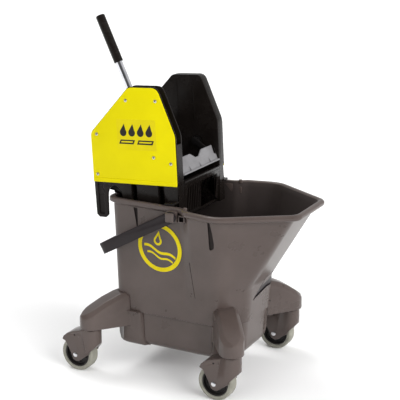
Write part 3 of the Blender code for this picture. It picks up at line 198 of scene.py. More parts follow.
def roundEdges(mesh, width, segments=2, angle=30):
    # flat faces are merged and slivers closed first, so that every hard edge takes the rounding
    edit = bmesh.new()
    edit.from_mesh(mesh)
    bmesh.ops.remove_doubles(edit, verts=edit.verts, dist=0.00003)
    bmesh.ops.dissolve_limit(edit, angle_limit=math.radians(1.5), verts=edit.verts, edges=edit.edges)
    bmesh.ops.dissolve_degenerate(edit, edges=edit.edges, dist=shortestEdge)
    edit.to_mesh(mesh)
    edit.free()
    piece = bpy.data.objects.new("rounding", mesh)
    bpy.context.scene.collection.objects.link(piece)
    bevel = piece.modifiers.new("bevel", "BEVEL")
    bevel.width = width
    bevel.segments = segments
    bevel.limit_method = "ANGLE"
    bevel.angle_limit = math.radians(angle)
    bevel.use_clamp_overlap = False
    bevel.miter_outer = "MITER_ARC"
    return bakedMesh(piece)


def softCopy(node, body, width, finish, segments=2, angle=30):
    # the CAD node's own shape with its hard edges rounded as a moulding's are
    mesh = parts[node].data.copy()
    mesh.materials.clear()
    mesh = roundEdges(mesh, width, segments, angle)
    mesh.materials.clear()
    return addPiece("soft_" + node, mesh, finish, body, [node], sharp=40)


def loft(name, rings, closed=False):
    count = len(rings[0])
    points = [point for ring in rings for point in ring]
    faces = []
    last = len(rings) - (0 if closed else 1)
    for level in range(last):
        low = level * count
        high = ((level + 1) % len(rings)) * count
        for i in range(count):
            j = (i + 1) % count
            faces.append([low + i, low + j, high + j, high + i])
    if not closed:
        faces.append(list(range(count))[::-1])
        faces.append([(len(rings) - 1) * count + i for i in range(count)])
    return meshFrom(name, points, faces)


def turned(name, profile, segments=64, ring=False):
    # a shape turned about z from (radius, height) points
    points = []
    rows = []
    for radius, height in profile:
        if radius < 1e-7:
            rows.append([len(points)] * segments)
            points.append((0, 0, height))
            continue
        rows.append([len(points) + i for i in range(segments)])
        for i in range(segments):
            angle = 2 * math.pi * i / segments
            points.append((radius * math.cos(angle), radius * math.sin(angle), height))
    pairs = list(zip(rows, rows[1:]))
    if ring:
        pairs.append((rows[-1], rows[0]))
    faces = []
    for low, high in pairs:
        for i in range(segments):
            j = (i + 1) % segments
            face = list(dict.fromkeys([low[i], low[j], high[j], high[i]]))
            if len(face) > 2:
                faces.append(face)
    return meshFrom(name, points, faces)


def alongY(mesh):
    mesh.transform(Matrix.Rotation(-math.pi / 2, 4, "X"))
    return mesh


def moved(mesh, x=0.0, y=0.0, z=0.0):
    mesh.transform(Matrix.Translation((x, y, z)))
    return mesh


def plate(name, outline, yLow, yHigh):
    low = min(yLow, yHigh)
    high = max(yLow, yHigh)
    return loft(name, [[(x, y, z) for x, z in outline] for y in (low, high)])


def block(name, low, high):
    outline = [(low[0], low[2]), (high[0], low[2]), (high[0], high[2]), (low[0], high[2])]
    return plate(name, outline, low[1], high[1])


def arc(centre, radius, start, end, steps):
    points = []
    for i in range(steps + 1):
        angle = math.radians(start + (end - start) * i / steps)
        points.append((centre[0] + radius * math.cos(angle), centre[1] + radius * math.sin(angle)))
    return points


def mix(first, second, share):
    return first + (second - first) * share


def smooth(share):
    share = max(0.0, min(1.0, share))
    return share * share * (3 - 2 * share)


def roundedOutline(outline):
    # (x, y, reach, steps) corners; a reach of 0 stays sharp
    points = []
    for i, (x, y, reach, steps) in enumerate(outline):
        corner = Vector((x, y))
        if reach == 0:
            points.append(tuple(corner))
            continue
        before = Vector(outline[i - 1][:2])
        after = Vector(outline[(i + 1) % len(outline)][:2])
        start = corner + (before - corner).normalized() * reach
        end = corner + (after - corner).normalized() * reach
        for k in range(steps + 1):
            t = k / steps
            points.append(tuple(start * (1 - t) ** 2 + corner * 2 * t * (1 - t) + end * t ** 2))
    return points


def grown(outline, distance):
    result = []
    for i, point in enumerate(outline):
        here = Vector(point)
        first = (here - Vector(outline[i - 1])).normalized()
        second = (Vector(outline[(i + 1) % len(outline)]) - here).normalized()
        normal1 = Vector((first.y, -first.x))
        normal2 = Vector((second.y, -second.x))
        result.append(tuple(here + (normal1 + normal2) * distance / (1 + normal1.dot(normal2))))
    return result


# ---- bucket: one smooth shell, rolled rim in front, flat rim behind
bucket = {
    "wall": 0.0035, "baseZ": 0.056, "rimZ": 0.380,
    "ledgeZ": 0.133, "ledgeStep": 0.005, "noseRootZ": 0.206,
    "rearReach": 0.137, "rearHalf": 0.112,
    "jogX": 0.039, "jogRun": 0.022, "jogHalf": 0.126, "jogOut": 0.017,
    "shoulderX": 0.129, "shoulderHalf": 0.156, "shoulderLean": 0.010,
    "noseReach": 0.262, "noseRootReach": 0.160, "noseHalf": 0.066, "noseRootHalf": 0.058,
    "sideDraft": 0.030, "rearDraft": 0.018, "noseLowDraft": 0.070, "baseRound": 0.018,
    "beadReach": 0.0085, "beadRadius": 0.0066, "beadDepth": 0.014, "flangeReach": 0.006,
    "corners": [(0.026, 12), (0.007, 4), (0.007, 4), (0.024, 12), (0.014, 10)],
    "noseRun": 10,
}


def halfOutline(z):
    b = bucket
    drop = b["rimZ"] - z
    flare = max(0.0, (z - b["ledgeZ"]) / (b["rimZ"] - b["ledgeZ"]))
    noseFlare = max(0.0, (z - b["noseRootZ"]) / (b["rimZ"] - b["noseRootZ"]))
    belowLedge = b["sideDraft"] * max(0.0, b["ledgeZ"] - z)
    belowNose = max(0.0, b["noseRootZ"] - z)
    step = b["ledgeStep"] * smooth((b["ledgeZ"] + 0.0004 - z) / 0.0019)
    ledgeHalf = b["rearHalf"] - b["sideDraft"] * (b["rimZ"] - b["ledgeZ"])
    noseX = mix(b["noseRootReach"], b["noseReach"], noseFlare) - b["noseLowDraft"] * belowNose
    noseHalf = mix(b["noseRootHalf"], b["noseHalf"], noseFlare) - b["sideDraft"] * belowNose
    jogX = b["jogX"]
    return [
        (-b["rearReach"] + b["rearDraft"] * drop + step, b["rearHalf"] - b["sideDraft"] * drop - step),
        (jogX, mix(ledgeHalf + 0.003, b["jogHalf"], flare) - belowLedge - step),
        (jogX + b["jogRun"], mix(ledgeHalf + 0.004, b["jogHalf"] + b["jogOut"], flare) - belowLedge - step),
        (mix(b["shoulderX"] - b["shoulderLean"], b["shoulderX"], flare) - step,
         mix(ledgeHalf + 0.003, b["shoulderHalf"], flare) - belowLedge - step),
        (noseX - step, noseHalf - step * 0.5),
    ]


def wallRing(z, outward=0.0):
    half = halfOutline(z)
    corners = [(x, -y) for x, y in half] + [(x, y) for x, y in reversed(half)]
    corners = grown(corners, outward)
    softening = bucket["corners"] + bucket["corners"][::-1]
    outline = [(x, y, reach, steps) for (x, y), (reach, steps) in zip(corners, softening)]
    line = roundedOutline(outline)
    edge = sum(steps + 1 for _, steps in bucket["corners"][:4])
    far = len(line) - edge - 1
    run = bucket["noseRun"]
    points = []
    for i, (x, y) in enumerate(line):
        points.append((x, y, z))
        if i in (edge - 1, far):
            nextX, nextY = line[i + 1]
            points += [(mix(x, nextX, k / run), mix(y, nextY, k / run), z) for k in range(1, run)]
    return points


def sideWallY(x, z):
    rear, jog = halfOutline(z)[:2]
    return mix(rear[1], jog[1], (x - rear[0]) / (jog[0] - rear[0]))


def wallHalfAt(x, z):
    # half width of the outer wall at any x
    corners = halfOutline(z)
    for first, second in zip(corners, corners[1:]):
        if x <= second[0]:
            return mix(first[1], second[1], (x - first[0]) / (second[0] - first[0]))
    return corners[-1][1]


def baseRing(turn, outward):
    angle = math.radians(turn)
    inset = bucket["baseRound"] * (1 - math.sin(angle))
    height = bucket["baseZ"] + bucket["baseRound"] * (1 - math.cos(angle)) - outward * math.cos(angle)
    flat = wallRing(bucket["baseZ"] + bucket["baseRound"], outward * math.sin(angle) - inset)
    return [(x, y, height) for x, y, _ in flat]


def wallLevels(top):
    b = bucket
    ledge = [b["ledgeZ"] + lift for lift in (-0.0016, -0.0011, -0.0006, -0.0001, 0.0004)]
    low = [mix(b["ledgeZ"] + 0.0004, b["noseRootZ"] - 0.004, i / 3) for i in range(1, 4)]
    flare = [mix(b["noseRootZ"], top, i / 12) for i in range(13)]
    return ledge + low + flare


def rimRings():
    b = bucket
    rings = []
    steps = 14
    for k in range(steps + 1):
        turn = math.radians(mix(-84, 150, k / steps))
        cosine = math.cos(turn)
        sine = math.sin(turn)
        beadOut = b["beadReach"] - b["beadRadius"] + b["beadRadius"] * cosine
        beadZ = b["rimZ"] - b["beadRadius"] + b["beadRadius"] * sine
        flatOut = 0.0012 + (b["flangeReach"] - 0.0012) * math.copysign(abs(cosine) ** 0.35, cosine)
        flatZ = b["rimZ"] - 0.0050 + 0.0050 * math.copysign(abs(sine) ** 0.35, sine)
        bead = wallRing(b["rimZ"], beadOut)
        flat = wallRing(b["rimZ"], flatOut)
        ring = []
        for (xb, yb, _), (xf, yf, _) in zip(bead, flat):
            share = smooth((xf - b["jogX"] + 0.002) / (b["jogRun"] * 0.9))
            ring.append((mix(xf, xb, share), mix(yf, yb, share), mix(flatZ, beadZ, share)))
        rings.append(ring)
    return rings


def bucketShell():
    b = bucket
    under = b["rimZ"] - b["beadDepth"]
    rings = [baseRing(turn, 0.0) for turn in (0, 15, 30, 45, 60, 75)]
    rings += [wallRing(z) for z in [b["baseZ"] + b["baseRound"], 0.100] + wallLevels(under)]
    rings += rimRings()
    rings += [wallRing(z, -b["wall"]) for z in wallLevels(under)[::-1]]
    rings += [wallRing(z, -b["wall"]) for z in (0.120, b["baseZ"] + b["baseRound"])]
    rings += [baseRing(turn, -b["wall"]) for turn in (75, 60, 45, 30, 15, 0)]
    return loft("bucketShell", rings)


grooves = {
    "depth": 0.0022, "top": 0.3648,
    "rearX": -0.0725, "rearLength": 0.042,
    "frontLeft": 0.1080, "frontRight": 0.1130, "frontSwell": 0.0054, "frontLow": 0.3050,
    "creaseTop": (0.0552, 0.268), "creaseLow": (0.0640, 0.190), "creaseWidth": 0.0014,
}


def grooveCutter(side, line):
    # line holds (x, z) points of the groove's outline
    inner = [(x, side * (wallHalfAt(x, z) - grooves["depth"]), z) for x, z in line]
    outer = [(x, side * 0.2, z) for x, z in line]
    mesh = loft("groove", [inner, outer])
    # the groove's faces take the near-black finish: painted shade in the groove
    mesh.materials.append(finishes["recessPaintedShade"])
    return mesh


def sideGrooves(side):
    g = grooves
    top = g["top"]
    x = g["rearX"]
    rear = [(x + 0.0014, top - g["rearLength"]), (x + 0.0040, top - g["rearLength"]),
            (x + 0.0046, top), (x - 0.0050, top)]
    left = g["frontLeft"]
    right = g["frontRight"] + g["frontSwell"]
    low = g["frontLow"]
    front = [(left, top), (left - 0.0006, low + 0.003)]
    front += roundedOutline([(left - 0.0006, low + 0.004, 0, 0), (left + 0.0010, low, 0.002, 4),
                             (right - 0.001, low + 0.004, 0.004, 6),
                             (right + 0.0002, low + 0.016, 0.004, 4),
                             (right - 0.002, low + 0.040, 0, 0)])[1:]
    front += [(g["frontRight"], top)]
    topX, topZ = g["creaseTop"]
    lowX, lowZ = g["creaseLow"]
    width = g["creaseWidth"]
    crease = [(lowX, lowZ), (lowX + width * 0.5, lowZ), (topX + width, topZ), (topX, topZ)]
    return [grooveCutter(side, line) for line in (rear, front, crease)]


def gussetCutter():
    # the many-sided recess under the root of the nose, on the pouring face; its faces take a darker finish
    # as painted shade
    root = bucket["noseRootZ"]
    corners = [(0.047, root + 0.012), (0.060, root), (0.0615, root - 0.012), (0.058, root - 0.022),
               (0.030, root - 0.021), (-0.040, root - 0.030), (0.016, root)]
    inner = [(halfOutline(z)[4][0] - 0.0028, y, z) for y, z in corners]
    outer = [(bucket["noseRootReach"] + 0.04, y, z) for y, z in corners]
    mesh = loft("gusset", [inner, outer])
    mesh.materials.append(finishes["greyPaintedShade"])
    return mesh


shell = bucketShell()
shell.materials.append(finishes["greyPlastic"])
shell.materials.append(finishes["greyInsidePaintedShade"])
for face in shell.polygons:
    # the faces that look inwards take a rougher finish, darker as painted shade for the dim inside
    x, y, z = face.center
    inside = abs(y) < wallHalfAt(x, z) - bucket["wall"] * 0.5 and z < bucket["rimZ"] - 0.004
    if inside and face.normal.dot(Vector((x, y, 0.0))) < 0:
        face.material_index = 1
cutters = []
for side in sides.values():
    cutters += sideGrooves(side)
shell = cutMesh(shell, cutters + [gussetCutter()])
addPiece("bucket_shell", shell, "greyPlastic", "bucket", ["bucket"], sharp=38, moveX=-middle)

bail = {"x": 0.023, "z": 0.363, "lugHalf": 0.011, "sideGap": 0.013}
rimHalf = sideWallY(bail["x"], bucket["rimZ"]) + bucket["flangeReach"]
lugFace = rimHalf + bail["sideGap"] - 0.004


def sideBlock(side, x, z, y, finish="greyPlastic"):
    mesh = block("block", (x[0], min(side * y[0], side * y[1]), z[0]),
                 (x[1], max(side * y[0], side * y[1]), z[1]))
    mesh.materials.append(finishes[finish])
    return mesh


for label, side in sides.items():
    x = bail["x"]
    z = bail["z"]
    h = bail["lugHalf"]
    root = sideWallY(x - h, z - h) - bucket["wall"] * 0.5
    lug = roundEdges(sideBlock(side, (x - h, x + h), (z - h, z + h), (root, lugFace)), 0.0012)
    hole = turned("hole", [(0, -0.02), (0.0053, -0.02), (0.0053, 0.02), (0, 0.02)], 32)
    hole.materials.append(finishes["greyPlastic"])
    lug = cutMesh(lug, [moved(alongY(hole), x, side * (lugFace + 0.0097), z)])
    addPiece("bail_lug_" + label, lug, "greyPlastic", "bucket", moveX=-middle)
    low = x + h + 0.004
    face = lugFace - 0.001
    box = sideBlock(side, (low, low + 0.014), (z - 0.010, z + 0.004), (bucket["jogHalf"] + 0.001, face))
    # the pocket's faces take the near-black finish: painted shade in the pocket
    pocket = sideBlock(side, (low + 0.002, low + 0.012), (z - 0.008, z + 0.002),
                       (bucket["jogHalf"] + 0.004, face + 0.01), "recessPaintedShade")
    box = cutMesh(roundEdges(box, 0.0008), [pocket])
    addPiece("catch_box_" + label, box, "greyPlastic", "bucket", moveX=-middle)
    knob = turned("knob", [(0, -0.004), (0.0045, -0.004)]
                  + [(0.0015 + r, h) for r, h in arc((0.0, 0.0), 0.0030, 0, 90, 8)] + [(0, 0.0030)], 32)
    knob = moved(knob, bucket["jogX"] + bucket["jogRun"] * 0.45, side * (bucket["jogHalf"] + 0.004),
                 bucket["rimZ"])
    addPiece("rim_stop_" + label, knob, "greyPlastic", "bucket", moveX=-middle)
    softCopy("bail_pin_" + label, "bucket", 0.0009, "greyPlastic")
print("bucket made")


# ---- legs, castors and bail: the CAD shapes with moulded edges
castor = {"base": 0.328, "track": 0.302, "trail": 0.031, "wheel": 0.0375, "tyreDepth": 0.0091,
          "tread": 0.027, "cheek": 0.0199, "holeZ": 0.0825, "holeRadius": 0.0020, "spokes": 6}


def tyreMesh():
    # a rounded tread between two slightly raised shoulders
    c = castor
    half = c["tread"] / 2
    inner = c["wheel"] - c["tyreDepth"] + 0.0003
    profile = [(inner, -half * 0.88), (inner + 0.0012, -half)]
    profile += [(c["wheel"] - 0.0044 + dz, -half + 0.0044 - dr) for dr, dz in arc((0, 0), 0.0044, 0, 90, 8)]
    profile += [(c["wheel"] - 0.0044 + dz, half - 0.0044 + dr) for dr, dz in arc((0, 0), 0.0044, 90, 0, 8)]
    profile += [(inner + 0.0012, half), (inner, half * 0.88)]
    return alongY(turned("tyre", profile, 72, ring=True))


def hubMesh():
    # rim, boss and a thin web with shallow pockets between its spokes
    c = castor
    half = c["tread"] / 2
    rim = c["wheel"] - c["tyreDepth"]
    profile = [(0.0043, -half), (0.0078, -half), (0.0085, -half + 0.0007), (0.0100, -half * 0.40),
               (rim - 0.0040, -half * 0.40), (rim - 0.0026, -half * 0.82), (rim - 0.0014, -half * 0.88),
               (rim, -half * 0.86), (rim, half * 0.86), (rim - 0.0014, half * 0.88),
               (rim - 0.0026, half * 0.82), (rim - 0.0040, half * 0.40), (0.0100, half * 0.40),
               (0.0085, half - 0.0007), (0.0078, half), (0.0043, half)]
    mesh = alongY(turned("hub", profile, 72, ring=True))
    mesh.materials.append(finishes["hubPlastic"])
    pockets = []
    for i in range(c["spokes"]):
        middleTurn = 360 / c["spokes"] * i
        line = arc((0, 0), 0.0118, middleTurn - 18, middleTurn + 18, 6)
        line += arc((0, 0), rim - 0.0062, middleTurn + 23, middleTurn - 23, 10)
        for side in sides.values():
            pocket = plate("pocket", line, side * half * 0.24, side * half)
            pocket.materials.append(finishes["hubPlastic"])
            pockets.append(pocket)
    return cutMesh(mesh, pockets)


def makeCastor(end, endName, side, label):
    c = castor
    corner = endName + "_" + label
    swivelX = end * c["base"] / 2 - middle
    swivelY = side * c["track"] / 2
    axleX = swivelX - c["trail"]
    wheelBody = "wheel_" + corner
    addPiece("tyre_" + corner, moved(tyre.copy(), axleX, swivelY, c["wheel"]), "greyRubber", wheelBody,
             ["castor_tyre_" + corner])
    addPiece("hub_" + corner, moved(hub.copy(), axleX, swivelY, c["wheel"]), "hubPlastic", wheelBody,
             ["castor_hub_" + corner])
    # the fork and hood, with a small moulded hole in each cheek whose faces are near black as painted shade
    name = "castor_housing_" + corner
    mesh = parts[name].data.copy()
    mesh.materials.clear()
    mesh.materials.append(finishes["greyPlastic"])
    mesh = roundEdges(mesh, 0.0013, 3)
    holes = []
    for face in sides.values():
        hole = turned("hole", [(0, -0.0016), (c["holeRadius"], -0.0016), (c["holeRadius"], 0.0016),
                               (0, 0.0016)], 24)
        hole.materials.append(finishes["recessPaintedShade"])
        holes.append(moved(alongY(hole), axleX, swivelY + face * c["cheek"], c["holeZ"]))
    mesh = cutMesh(mesh, holes)
    addPiece("fork_" + corner, mesh, "greyPlastic", "castor_" + corner, [name], sharp=40)
    # a short raised brow beside each hole
    for faceName, face in sides.items():
        brow = []
        for k in range(13):
            turn = math.radians(mix(-60, 50, k / 12))
            centre = Vector((axleX + 0.004 + 0.0075 * math.cos(turn), swivelY + face * c["cheek"],
                             c["holeZ"] + 0.0010 + 0.0055 * math.sin(turn)))
            thick = 0.0011 * math.sin(math.pi * (k + 0.6) / 13.2)
            out = Vector((math.cos(turn), 0, math.sin(turn)))
            brow.append([centre + out * thick * math.cos(a) + Vector((0, 1, 0)) * thick * math.sin(a)
                         for a in (math.pi * j / 4 for j in range(8))])
        addPiece("brow_" + faceName + "_" + corner, loft("brow", brow), "greyPlastic",
                 "castor_" + corner)


tyre = tyreMesh()
hub = hubMesh()
# the bail takes a darker finish than the bucket: painted shade
softCopy("bail_handle", "bail", 0.0010, "greyPaintedShade", angle=40)
for endName in ends:
    for label in sides:
        corner = endName + "_" + label
        softCopy("leg_" + corner, "bucket", 0.0016, "greyPlastic", segments=3)
        makeCastor(ends[endName], endName, sides[label], label)
print("legs and castors made")


# ---- wringer
wringer = {
    "at": (-0.1975, 0, 0.4073), "lean": 2.92,
    "length": 0.200, "shoulder": 0.102, "height": 0.199, "topRear": 0.096, "topFront": 0.163,
    "inner": 0.08148, "coverFace": 0.10788, "coverInset": 0.0015, "coverThick": 0.0021,
    "lipInset": 0.0017, "lipBack": 0.0015, "lipProud": 0.0012, "lipLow": -0.0008, "lipHigh": 0.0082,
    "pivot": (0.1483, 0.0567),
    "ribs": (0.106, 0.1450), "ribWidth": 0.0016,
}
wringerPlace = (Matrix.Translation(wringer["at"])
                @ Matrix.Rotation(math.radians(-wringer["lean"]), 4, "Y"))


def inWringer(mesh):
    mesh.transform(wringerPlace)
    return mesh


def plateOutline(inset=0.0):
    # the six-sided outline shared by casings and covers, anticlockwise in (u, w)
    length = wringer["length"]
    corners = [(0, 0), (length, 0), (length, wringer["shoulder"]), (wringer["topFront"], wringer["height"]),
               (wringer["topRear"], wringer["height"]), (0, wringer["shoulder"])]
    corners = grown(corners, -inset)
    corners = [(u, w if i > 1 else 0.0) for i, (u, w) in enumerate(corners)]
    cuts = [(0.003, 3), (0.003, 3), (0.007, 6), (0.013, 10), (0.007, 6), (0.007, 6)]
    return roundedOutline([(u, w, *soft) for (u, w), soft in zip(corners, cuts)])


def finishedCopy(node, finish):
    mesh = parts[node].data.copy()
    mesh.materials.clear()
    mesh.materials.append(finishes[finish])
    return mesh


for label, side in sides.items():
    # upright ribs stand on the inner face of each casing, clear of the press and the basket
    mesh = roundEdges(finishedCopy("casing_" + label, "blackPlastic"), 0.0011, 3)
    addPiece("side_casing_" + label, mesh, "blackPlastic", "wringer", ["casing_" + label], sharp=40)
    for number, u in enumerate(wringer["ribs"]):
        half = wringer["ribWidth"] / 2
        top = wringer["height"] - 0.010
        line = [(u - half, 0.103), (u + half, 0.103), (u + half * 0.6, top), (u - half * 0.6, top)]
        face = wringer["inner"]
        rib = inWringer(plate("rib", line, side * (face - 0.0011), side * (face + 0.0010)))
        addPiece("casing_rib_%d_%s" % (number, label), roundEdges(rib, 0.0004), "blackPlastic", "wringer")
    face = wringer["coverFace"]
    back = side * (face - wringer["coverThick"])
    cover = inWringer(plate("cover", plateOutline(wringer["coverInset"]), back, side * face))
    cover = roundEdges(cover, 0.0006, 3)
    addPiece("side_cover_" + label, cover, "yellowPlastic", "wringer", ["cover_" + label])
    lipSides = (side * (face - wringer["lipBack"]), side * (face + wringer["lipProud"]))
    lip = block("lip", (wringer["lipInset"], min(lipSides), wringer["lipLow"]),
                (wringer["length"] - wringer["lipInset"], max(lipSides), wringer["lipHigh"]))
    addPiece("cover_lip_" + label, roundEdges(inWringer(lip), 0.0010, 4), "yellowPlastic", "wringer")
    softCopy("press_arm_" + label, "lever", 0.0008, "blackSteel")
softCopy("wringer_basket", "wringer", 0.0007, "blackPlastic")
softCopy("press_plate", "lever", 0.0006, "paleGrey")
softCopy("lever_hub", "lever", 0.0008, "blackSteel")

# the lever's tube and grip, turned finely so that their highlights run straight
lever = {"back": 22.0, "radius": 0.0072, "start": 0.0163, "end": 0.300, "y": 0.09368,
         "gripRadius": 0.0094, "gripLength": 0.101, "gripRings": 3}
leverPlace = (wringerPlace @ Matrix.Translation((wringer["pivot"][0], 0, wringer["pivot"][1]))
              @ Matrix.Rotation(math.radians(-lever["back"]), 4, "Y")
              @ Matrix.Translation((0, -lever["y"], 0)))
tube = turned("tube", [(0, lever["start"]), (lever["radius"], lever["start"]),
                       (lever["radius"], lever["end"] - 0.001), (lever["radius"] - 0.001, lever["end"]),
                       (0, lever["end"])], 64)
tube.transform(leverPlace)
addPiece("lever_tube_bright", tube, "chrome", "lever", ["lever_tube"])
gripStart = lever["end"] - lever["gripLength"] + 0.006
gripEnd = gripStart + lever["gripLength"]
radius = lever["gripRadius"]
profile = [(lever["radius"] + 0.0003, gripStart), (radius - 0.0012, gripStart)]
profile += [(radius - 0.0012 + r, gripStart + 0.0012 + h) for r, h in arc((0, 0), 0.0012, -90, 0, 5)]
for i in range(lever["gripRings"]):
    groove = gripStart + 0.006 + i * 0.0030
    profile += [(radius, groove), (radius - 0.0005, groove + 0.0006), (radius, groove + 0.0012)]
profile += [(radius - 0.0030 + r, gripEnd - 0.0040 + h)
            for r, h in ((0.0030 * math.cos(a), 0.0040 * math.sin(a)) for a in
                         (math.pi / 2 * k / 8 for k in range(9)))]
profile += [(0, gripEnd), (0, lever["end"] + 0.0003), (lever["radius"] + 0.0003, lever["end"] + 0.0003)]
grip = turned("grip", profile, 64, ring=True)
grip.transform(leverPlace)
addPiece("lever_hand_grip", grip, "blackPlastic", "lever", ["lever_grip"])
print("wringer made")


# ---- screw heads with a cross recess
screw = {"head": 0.0034, "rise": 0.0016, "cross": 0.0044, "slotWidth": 0.0009, "slotDepth": 0.0009}


def screwHead():
    # seat at y = 0, rising along +y
    s = screw
    profile = [(0, -0.002), (0.0017, -0.002), (0.0017, 0.0), (s["head"], 0.0)]
    profile += [(s["head"] * math.cos(a), 0.0003 + (s["rise"] - 0.0003) * math.sin(a))
                for a in (math.pi / 2 * k / 8 for k in range(9))]
    mesh = alongY(turned("screwHead", profile, 32))
    mesh.materials.append(finishes["zincSteel"])
    slots = []
    for size in ((s["cross"], s["slotWidth"]), (s["slotWidth"], s["cross"])):
        slot = block("slot", (-size[0] / 2, s["rise"] - s["slotDepth"], -size[1] / 2),
                     (size[0] / 2, s["rise"] + 0.002, size[1] / 2))
        # the cross recess faces take the black steel finish: painted shade in the recess
        slot.materials.append(finishes["blackSteel"])
        slots.append(slot)
    return cutMesh(mesh, slots)


head = screwHead()
seat = wringer["coverFace"] + 0.0003
for name in list(parts):
    if not (name.startswith("screw_") or name.startswith("pivot_screw_")):
        continue
    low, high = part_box(name)
    side = -1 if name.endswith("right") else 1
    mesh = head.copy()
    mesh.transform(Matrix.Rotation(math.radians(38), 4, "Y"))
    if side < 0:
        mesh.transform(Matrix.Rotation(math.pi, 4, "Z"))
    moved(mesh, (low.x + high.x) / 2, side * seat, (low.z + high.z) / 2)
    addPiece("head_" + name, mesh, "zincSteel", "wringer", [name])
print("screws made")


# ---- label on each cover: a plain panel with water drops over two bars
coverLabel = {
    "panel": (0.0650, 0.0700, 0.1560, 0.1330),
    "drops": [(0.0800, 0.1058, 0.0078), (0.1000, 0.1058, 0.0078), (0.1200, 0.1058, 0.0078),
              (0.1400, 0.1058, 0.0078)],
    "bars": [(0.0690, 0.1070), (0.1110, 0.1510)], "barLow": 0.0820, "barHigh": 0.0910,
    "film": 0.00012, "ink": 0.00010,
}


def dropOutline(u, w, radius):
    # a round foot drawn up into a point
    tip = (u + radius * 0.35, w + radius * 2.3)
    return arc((u, w), radius, 142, 398, 28) + [tip]


def coverPlate(name, outline, low, high, finish, side, label):
    mesh = inWringer(plate(name, outline, side * low, side * high))
    addPiece(name + "_" + label, mesh, finish, "wringer")


def barOutline(u0, u1, w0, w1, slant=0.004):
    return roundedOutline([(u0, w0, 0.0012, 3), (u1 - slant, w0, 0.0012, 3), (u1, w1, 0.0012, 3),
                           (u0 + slant, w1, 0.0012, 3)])


for label, side in sides.items():
    c = coverLabel
    u0, w0, u1, w1 = c["panel"]
    face = wringer["coverFace"]
    film = face + c["film"]
    ink = film + c["ink"]
    panel = roundedOutline([(u0, w0, 0.003, 5), (u1, w0, 0.003, 5), (u1, w1, 0.003, 5), (u0, w1, 0.003, 5)])
    coverPlate("cover_panel", panel, face - 0.0004, film, "labelFilm", side, label)
    for number, drop in enumerate(c["drops"]):
        outline = dropOutline(*drop)
        coverPlate("cover_drop_%d" % number, outline, film - 0.0002, ink, "printBlack", side, label)
    for number, (start, end) in enumerate(c["bars"]):
        outline = barOutline(start, end, c["barLow"], c["barHigh"])
        coverPlate("cover_bar_%d" % number, outline, film - 0.0002, ink, "printBlack", side, label)
        inner = barOutline(start + 0.0045, end - 0.0045, c["barLow"] + 0.0032, c["barHigh"] - 0.0030,
                           0.002)
        coverPlate("cover_bar_light_%d" % number, inner, film - 0.0002, ink + 0.0001, "labelFilm",
                   side, label)


# ---- round badge on the bucket's right side: a ring with a drop over ripples
badge = {"x": -0.0168, "z": 0.287, "radius": 0.0523, "ring": 0.0090, "gap": 0.0007, "film": 0.0002}


def onWall(points, depth):
    return [(x, -(sideWallY(x, z) + depth), z) for x, z in points]


def wallPlate(name, outline, low, high, finish, stands=()):
    # rings shrinking to the middle let the film follow the slightly twisted wall
    midX = sum(x for x, _ in outline) / len(outline)
    midZ = sum(z for _, z in outline) / len(outline)
    rings = []
    for depth, shares in ((low, (0.02, 0.35, 0.7, 1.0)), (high, (1.0, 0.7, 0.35, 0.02))):
        for share in shares:
            rings.append(onWall([(mix(midX, x, share), mix(midZ, z, share)) for x, z in outline], depth))
    return addPiece(name, loft(name, rings), finish, "bucket", stands, moveX=-middle)


centre = (badge["x"], badge["z"])
back = badge["gap"]
front = back + badge["film"]
ink = front + badge["film"]
disc = arc(centre, badge["radius"] - 0.0004, 0, 360, 72)[:-1]
wallPlate("badge_film", disc, back, front, "labelGrey", ["side_sticker"])
outerLine = arc(centre, badge["radius"], 0, 360, 72)[:-1]
innerLine = arc(centre, badge["radius"] - badge["ring"], 0, 360, 72)[:-1]
ring = loft("badge_ring", [onWall(outerLine, front - 0.0001), onWall(outerLine, ink),
                           onWall(innerLine, ink), onWall(innerLine, front - 0.0001)], closed=True)
addPiece("badge_ring", ring, "labelYellow", "bucket", moveX=-middle)


def ripple(number, z, width, rise, thick, slope):
    # a wavy band that leans across the badge
    steps = 40
    rings = []
    for k in range(steps + 1):
        share = k / steps
        x = badge["x"] + mix(-width, width, share)
        wave = z + rise * math.sin(share * math.pi * 3) - slope * (share - 0.5)
        ends = [(x, wave - thick / 2), (x, wave + thick / 2)]
        rings.append(onWall(ends, front - 0.0001) + onWall(ends[::-1], ink))
    addPiece("badge_ripple_%d" % number, loft("ripple", rings), "labelYellow", "bucket", moveX=-middle)


ripple(0, 0.2790, 0.0370, 0.0030, 0.0056, 0.020)
ripple(1, 0.2665, 0.0300, 0.0026, 0.0040, 0.016)
dropLine = dropOutline(badge["x"] - 0.004, 0.3010, 0.0096)
wallPlate("badge_drop", dropLine, front - 0.0001, ink, "labelYellow")
eyeShare = 0.55   # size of the drop's grey middle against the drop
eyeLine = [(x * eyeShare + (badge["x"] - 0.004) * 0.45, z * eyeShare + 0.3020 * 0.45) for x, z in dropLine]
wallPlate("badge_drop_eye", eyeLine, ink - 0.0001, ink + badge["film"], "labelGrey")
print("labels made")


# ---- finishes on the CAD nodes that stay as they are
for name, node in parts.items():
    if node.hide_render:
        continue
    if name.startswith("shaft_bush") or name.startswith("lever_shaft"):
        finish = "blackSteel"
    else:
        finish = "zincSteel"
    for slotItem in node.material_slots:
        slotItem.material = finishes[finish]
    if not node.material_slots:
        node.data.materials.append(finishes[finish])


# ---- floor, light and camera
studio = {
    "floor": (0.93, 0.93, 0.93),
    "sky": {"dark": 0.10, "bright": 0.72},      # the room is dim behind the camera and bright elsewhere
    "key": {"from": (0.88, -0.20, 0.42), "power": 3.4, "spread": 50, "glossy": False},
    "glint": {"from": (-0.44, 0.20, 0.88), "power": 0.80, "spread": 24, "glossy": True},
    "fill": {"from": (-0.25, -0.85, 0.50), "power": 1.45, "spread": 60, "glossy": False},
    "camera": {"at": (1.0232, -2.0059, 0.9728), "down": 15.1278, "round": 27.0962, "lens": 100},
}

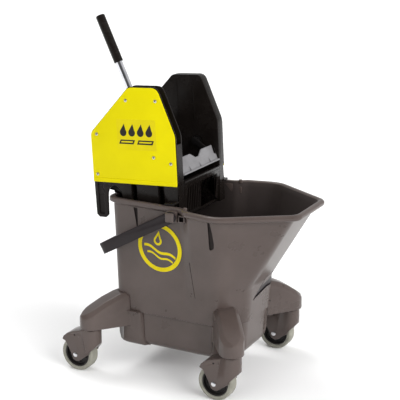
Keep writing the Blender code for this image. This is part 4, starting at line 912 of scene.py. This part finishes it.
floorMesh = meshFrom("floor", [(-30, -30, 0), (30, -30, 0), (30, 30, 0), (-30, 30, 0)], [[0, 1, 2, 3]])
floor = bpy.data.objects.new("floor", floorMesh)
bpy.context.scene.collection.objects.link(floor)
floorFinish = bpy.data.materials.new("floorPaint")
floorFinish.use_nodes = True
floorShader = floorFinish.node_tree.nodes["Principled BSDF"]
floorShader.inputs["Base Color"].default_value = (*studio["floor"], 1)
floorShader.inputs["Roughness"].default_value = 0.9
floorMesh.materials.append(floorFinish)

world = bpy.data.worlds.new("studio")
world.use_nodes = True
sky = world.node_tree
direction = sky.nodes.new("ShaderNodeTexCoord")
split = sky.nodes.new("ShaderNodeSeparateXYZ")
sky.links.new(direction.outputs["Generated"], split.inputs["Vector"])
dim = sky.nodes.new("ShaderNodeMapRange")
dim.interpolation_type = "SMOOTHSTEP"
dim.inputs["From Min"].default_value = -0.75
dim.inputs["From Max"].default_value = 0.15
dim.inputs["To Min"].default_value = studio["sky"]["dark"]
dim.inputs["To Max"].default_value = studio["sky"]["bright"]
sky.links.new(split.outputs["Y"], dim.inputs["Value"])
sky.nodes["Background"].inputs["Color"].default_value = (1, 1, 1, 1)
sky.links.new(dim.outputs["Result"], sky.nodes["Background"].inputs["Strength"])
bpy.context.scene.world = world

for lampName in ("key", "glint", "fill"):
    lamp = bpy.data.lights.new(lampName, "SUN")
    lamp.angle = math.radians(studio[lampName]["spread"])
    lamp.energy = studio[lampName]["power"]
    holder = bpy.data.objects.new(lampName, lamp)
    holder.rotation_euler = Vector(studio[lampName]["from"]).to_track_quat("Z", "Y").to_euler()
    holder.visible_glossy = studio[lampName]["glossy"]
    bpy.context.scene.collection.objects.link(holder)
bpy.context.scene.view_settings.view_transform = "Standard"

cameraData = bpy.data.cameras.new("camera")
cameraData.lens = studio["camera"]["lens"]
cameraData.sensor_width = 36
camera = bpy.data.objects.new("camera", cameraData)
camera.location = studio["camera"]["at"]
pitch = math.radians(90 - studio["camera"]["down"])
camera.rotation_euler = (pitch, 0, math.radians(studio["camera"]["round"]))
bpy.context.scene.collection.objects.link(camera)
bpy.context.scene.camera = camera
print("studio made")
